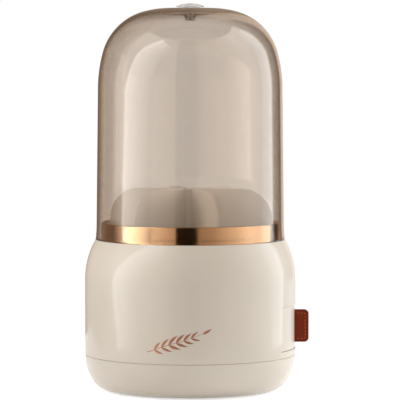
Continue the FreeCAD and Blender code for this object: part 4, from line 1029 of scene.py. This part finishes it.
# %% [markdown]
# ## What the gloss mirrors
# Glossy plastic and metal are drawn by what they mirror: the white front of the soft boxes, a low card
# that brings up the body's right edge, and a drum of studio cloth round it all. The drum is dark behind
# the camera and behind the piece's back, and pale at the sides, which gives the collar its dark middle
# and the body and dome their clear edges. An HDR picture would do the same, but a drum with a few
# shades can be changed one by one. A cloth's darker shades are also browner. All this is seen only in
# reflections and gives no light, so that the shade of the body can be set apart from them.

# %% What only reflections show
def mirrored_only(tree, glow):
    """Sends a glow to the material's output for light that has been mirrored at least once, and leaves
    the surface clear for all else."""
    mirrored = node(tree, "LightPath").outputs["Glossy Depth"]
    clear = node(tree, "BsdfTransparent")
    both = node(tree, "MixShader", {0: mirrored, 1: clear.outputs[0], 2: glow.outputs[0]})
    node(tree, "OutputMaterial", {"Surface": both.outputs[0]})


def only_in_mirrors(made):
    """Gives no light of its own and throws no shadow."""
    made.visible_camera = made.visible_diffuse = made.visible_shadow = made.visible_volume_scatter = False


print("the drum and the panels are hidden from all but reflections")

# %% Drum of studio cloth
DRUM_RADIUS, DRUM_FOOT, DRUM_TOP, DRUM_SIDES = 2.8, -1.5, 4.4, 96
CLOTH_GLOW = 2.1
FADE_LOW, FADE_HIGH, FADED = -0.32, -0.17, 0.3  # the cloth is dimmer near its foot, between these heights
CLOTH_WARMTH, DARK_WARMTH = 0.96, 0.26          # green and blue are less in dark cloth than in pale
CEILING = 0.15
LID_LOW = DRUM_TOP - 0.01                       # what is higher than this is the lid
CLOTH_TONES = (
    (-180, 0.16), (-175, 0.16), (-170, 0.12), (-158, 0.12),     # dark behind the piece's left back
    (-152, 0.20), (-133, 0.20), (-128, 0.15), (-107, 0.15),
    (-104, 0.42), (-97, 0.50), (-94, 0.90), (-62, 0.90),        # pale round the left side
    (-46, 0.78), (-26, 0.52), (-19, 0.46),
    (-17, 0.012), (5, 0.012), (8, 0.05),                        # black behind the camera
    (11, 0.30), (30, 0.40), (58, 0.74), (80, 1.12), (121, 1.0),  # ever paler round the right side
    (126, 0.06), (148, 0.06),                                   # a dark gap for the right edges
    (154, 0.45), (168, 0.45), (172, 0.22), (176, 0.22), (180, 0.16))  # a paler stretch, and dark again


def cloth_colour(tone):
    """The cloth's colour at a tone: green and blue are its warmth and the square of its warmth."""
    warmth = CLOTH_WARMTH - DARK_WARMTH * max(1 - tone, 0)
    return tone, tone * warmth, tone * warmth ** 2, 1


def add_cloth_ramp(tree, at, tones):
    """The cloth's colour at a place: a ramp over the bearing atan2(x, -y), from -180 to 180 degrees."""
    ahead = node(tree, "Math", {0: at["Y"], 1: -1.0}, operation="MULTIPLY")
    bearing = node(tree, "Math", {0: at["X"], 1: ahead.outputs[0]}, operation="ARCTAN2")
    share = node(tree, "MapRange", {"Value": bearing.outputs[0], "From Min": -math.pi,
                                    "From Max": math.pi})
    ramp = node(tree, "ValToRGB", {0: share.outputs[0]})
    stops = ramp.color_ramp.elements
    for degrees, tone in tones[1:-1]:
        stops.new(degrees / 360 + 0.5)
    for stop, (degrees, tone) in zip(stops, tones):
        stop.position = degrees / 360 + 0.5
        stop.color = cloth_colour(tone)
    return ramp.outputs[0]


def make_surround(tones, ceiling):
    """A drum of studio cloth round the set, with a lid of one grey. tones lists (bearing, brightness)
    and blends between them."""
    paint, tree = bare_paint("surround_cloth")
    at = node(tree, "SeparateXYZ", {0: node(tree, "TexCoord").outputs["Object"]}).outputs
    lid = node(tree, "Math", {0: at["Z"], 1: LID_LOW}, operation="GREATER_THAN")
    cloth = node(tree, "Mix", {"Factor": lid.outputs[0], 6: add_cloth_ramp(tree, at, tones),
                               7: (ceiling, ceiling, ceiling, 1)}, data_type="RGBA")
    fading = node(tree, "MapRange", {"Value": at["Z"], "From Min": FADE_LOW, "From Max": FADE_HIGH,
                                     "To Min": FADED * CLOTH_GLOW, "To Max": CLOTH_GLOW})
    glow = node(tree, "Emission", {"Color": cloth.outputs[2], "Strength": fading.outputs[0]})
    mirrored_only(tree, glow)
    bearing = np.radians(np.linspace(0, 360, DRUM_SIDES, endpoint=False))
    wall = np.stack([DRUM_RADIUS * np.cos(bearing), DRUM_RADIUS * np.sin(bearing), 0 * bearing], axis=-1)
    points = np.concatenate([wall + (0, 0, DRUM_FOOT), wall + (0, 0, DRUM_TOP)])
    sides = grid_faces(2, DRUM_SIDES, columns_close=True).tolist()
    top = list(range(DRUM_SIDES, 2 * DRUM_SIDES))
    only_in_mirrors(studio_piece("surround", points.tolist(), sides + [top], paint))
    print("the drum's cloth has", len(tones), "shades")


make_surround(CLOTH_TONES, CEILING)

# %% Panels seen only in reflections
def beside(bearing, distance, height):
    """A place round the piece. Bearing 0 is towards the camera and 90 to its right, in degrees."""
    t = math.radians(bearing)
    return Vector((distance * math.sin(t), -distance * math.cos(t), height))


def add_panel(name, first, facing, distance, low, width, tall, lean, tones, tint):
    """The white front of a soft box, as reflections show it. Its lower corner stands at bearing first
    and height low, and from there it runs on to larger bearings, square to the bearing facing. Its top
    leans the same way by lean degrees. tones are its brightness at its two upright edges, in the colour
    tint."""
    paint, tree = bare_paint(name + "_front")
    at = node(tree, "SeparateXYZ", {0: node(tree, "TexCoord").outputs["Object"]}).outputs
    tone = node(tree, "MapRange", {"Value": at["X"], "From Min": 0.0, "From Max": width,
                                   "To Min": tones[0], "To Max": tones[1]})
    mirrored_only(tree, node(tree, "Emission", {"Color": (*tint, 1), "Strength": tone.outputs[0]}))
    corners = [(0, 0, 0), (width, 0, 0), (width, tall, 0), (0, tall, 0)]
    panel = studio_piece(name, corners, [[0, 1, 2, 3]], paint)
    panel.location = beside(first, distance, low)
    panel.rotation_euler = (math.pi / 2, math.radians(lean), math.radians(facing))
    only_in_mirrors(panel)
    print("panel", name, "from bearing", first, "with the tones", tones)


add_panel("key_front", first=-92, facing=-75, distance=1.0, low=0.01, width=0.66, tall=1.7, lean=25,
          tones=(5.2, 1.0), tint=(1, 0.98, 0.95))
add_panel("strip_front", first=98, facing=110, distance=1.0, low=-0.08, width=0.36, tall=1.4, lean=0,
          tones=(2.7, 3.2), tint=(0.94, 0.97, 1))
add_panel("low_card", first=122, facing=140, distance=1.0, low=-0.12, width=0.50, tall=0.14, lean=0,
          tones=(0.9, 0.9), tint=(0.94, 0.97, 1))

# %% [markdown]
# ## Lamps
# The lamps do the other half of the work: they only light. Two tall soft boxes stand at the sides, a
# dim wide one fills the right, and one hangs overhead, and none of them is seen in a mirror, because
# the panels are there in their place. Point lamps would be simpler, but their shadows have hard edges.
# A black flag near the floor keeps the left box's light off the foot's lower edge.

# %% Soft boxes and a flag
MIDDLE = Vector((0, 0, 0.14))                   # what every lamp faces
FLAG_BLACK = (0.01, 0.01, 0.01, 1)


def add_lamp(name, bearing, distance, height, width, tall, watts, tint):
    """A soft box that faces the piece."""
    data = bpy.data.lights.new(name, "AREA")
    data.shape, data.size, data.size_y = "RECTANGLE", width, tall
    data.energy, data.color = watts, tint
    lamp = bpy.data.objects.new(name, data)
    bpy.context.scene.collection.objects.link(lamp)
    lamp.location = beside(bearing, distance, height)
    lamp.rotation_euler = (MIDDLE - lamp.location).to_track_quat("-Z", "Y").to_euler()
    lamp.visible_glossy = lamp.visible_transmission = False
    print("lamp", name, "of", watts, "W at bearing", bearing)


def add_flag(name, bearing, distance, width, tall):
    """A black card that stands on the floor and keeps a lamp's light off it, unseen in the metal."""
    paint = bpy.data.materials.new(name + "_black")
    paint.use_nodes = True
    paint.node_tree.nodes["Principled BSDF"].inputs["Base Color"].default_value = FLAG_BLACK
    corners = [(-width / 2, 0, 0), (width / 2, 0, 0), (width / 2, 0, tall), (-width / 2, 0, tall)]
    flag = studio_piece(name, corners, [[0, 1, 2, 3]], paint)
    flag.location = beside(bearing, distance, 0)
    flag.rotation_euler.z = math.radians(bearing)
    flag.visible_camera = flag.visible_glossy = flag.visible_transmission = False


add_lamp("key_box", bearing=-78, distance=1.0, height=0.44, width=0.34, tall=0.66, watts=5.9,
         tint=(0.95, 0.98, 1.0))
add_flag("key_flag", bearing=-78, distance=0.40, width=0.6, tall=0.10)
add_lamp("back_strip", bearing=122, distance=1.0, height=0.40, width=0.30, tall=0.66, watts=6.0,
         tint=(0.88, 0.95, 1.0))
add_lamp("right_panel", bearing=76, distance=1.5, height=0.50, width=1.1, tall=1.0, watts=7.5,
         tint=(0.90, 0.96, 1.0))
add_lamp("top_box", bearing=0, distance=0.15, height=1.1, width=0.7, tall=0.7, watts=2.6,
         tint=(1.0, 0.96, 0.90))

# %% [markdown]
# ## Camera
# A long lens from two metres away keeps the upright sides parallel, where a short one close by would
# spread them. The eye is a little above the middle, so that the collar and the seam show as flat
# ellipses.

# %% Camera
EYE, AIM = Vector((0, -2.0, 0.247)), Vector((0.007, 0, 0.1355))
SENSOR, LENS = 36.0, 252.7                      # millimetres
NEAREST, FARTHEST = 0.1, 20.0                   # metres
eye = bpy.data.cameras.new("camera")
eye.sensor_width, eye.lens = SENSOR, LENS
eye.clip_start, eye.clip_end = NEAREST, FARTHEST
camera = bpy.data.objects.new("camera", eye)
bpy.context.scene.collection.objects.link(camera)
camera.location = EYE
camera.rotation_euler = (AIM - EYE).to_track_quat("-Z", "Y").to_euler()
bpy.context.scene.camera = camera
bpy.context.scene.view_settings.view_transform = "Standard"
print("the camera is", round((AIM - EYE).length, 3), "m from what it looks at")
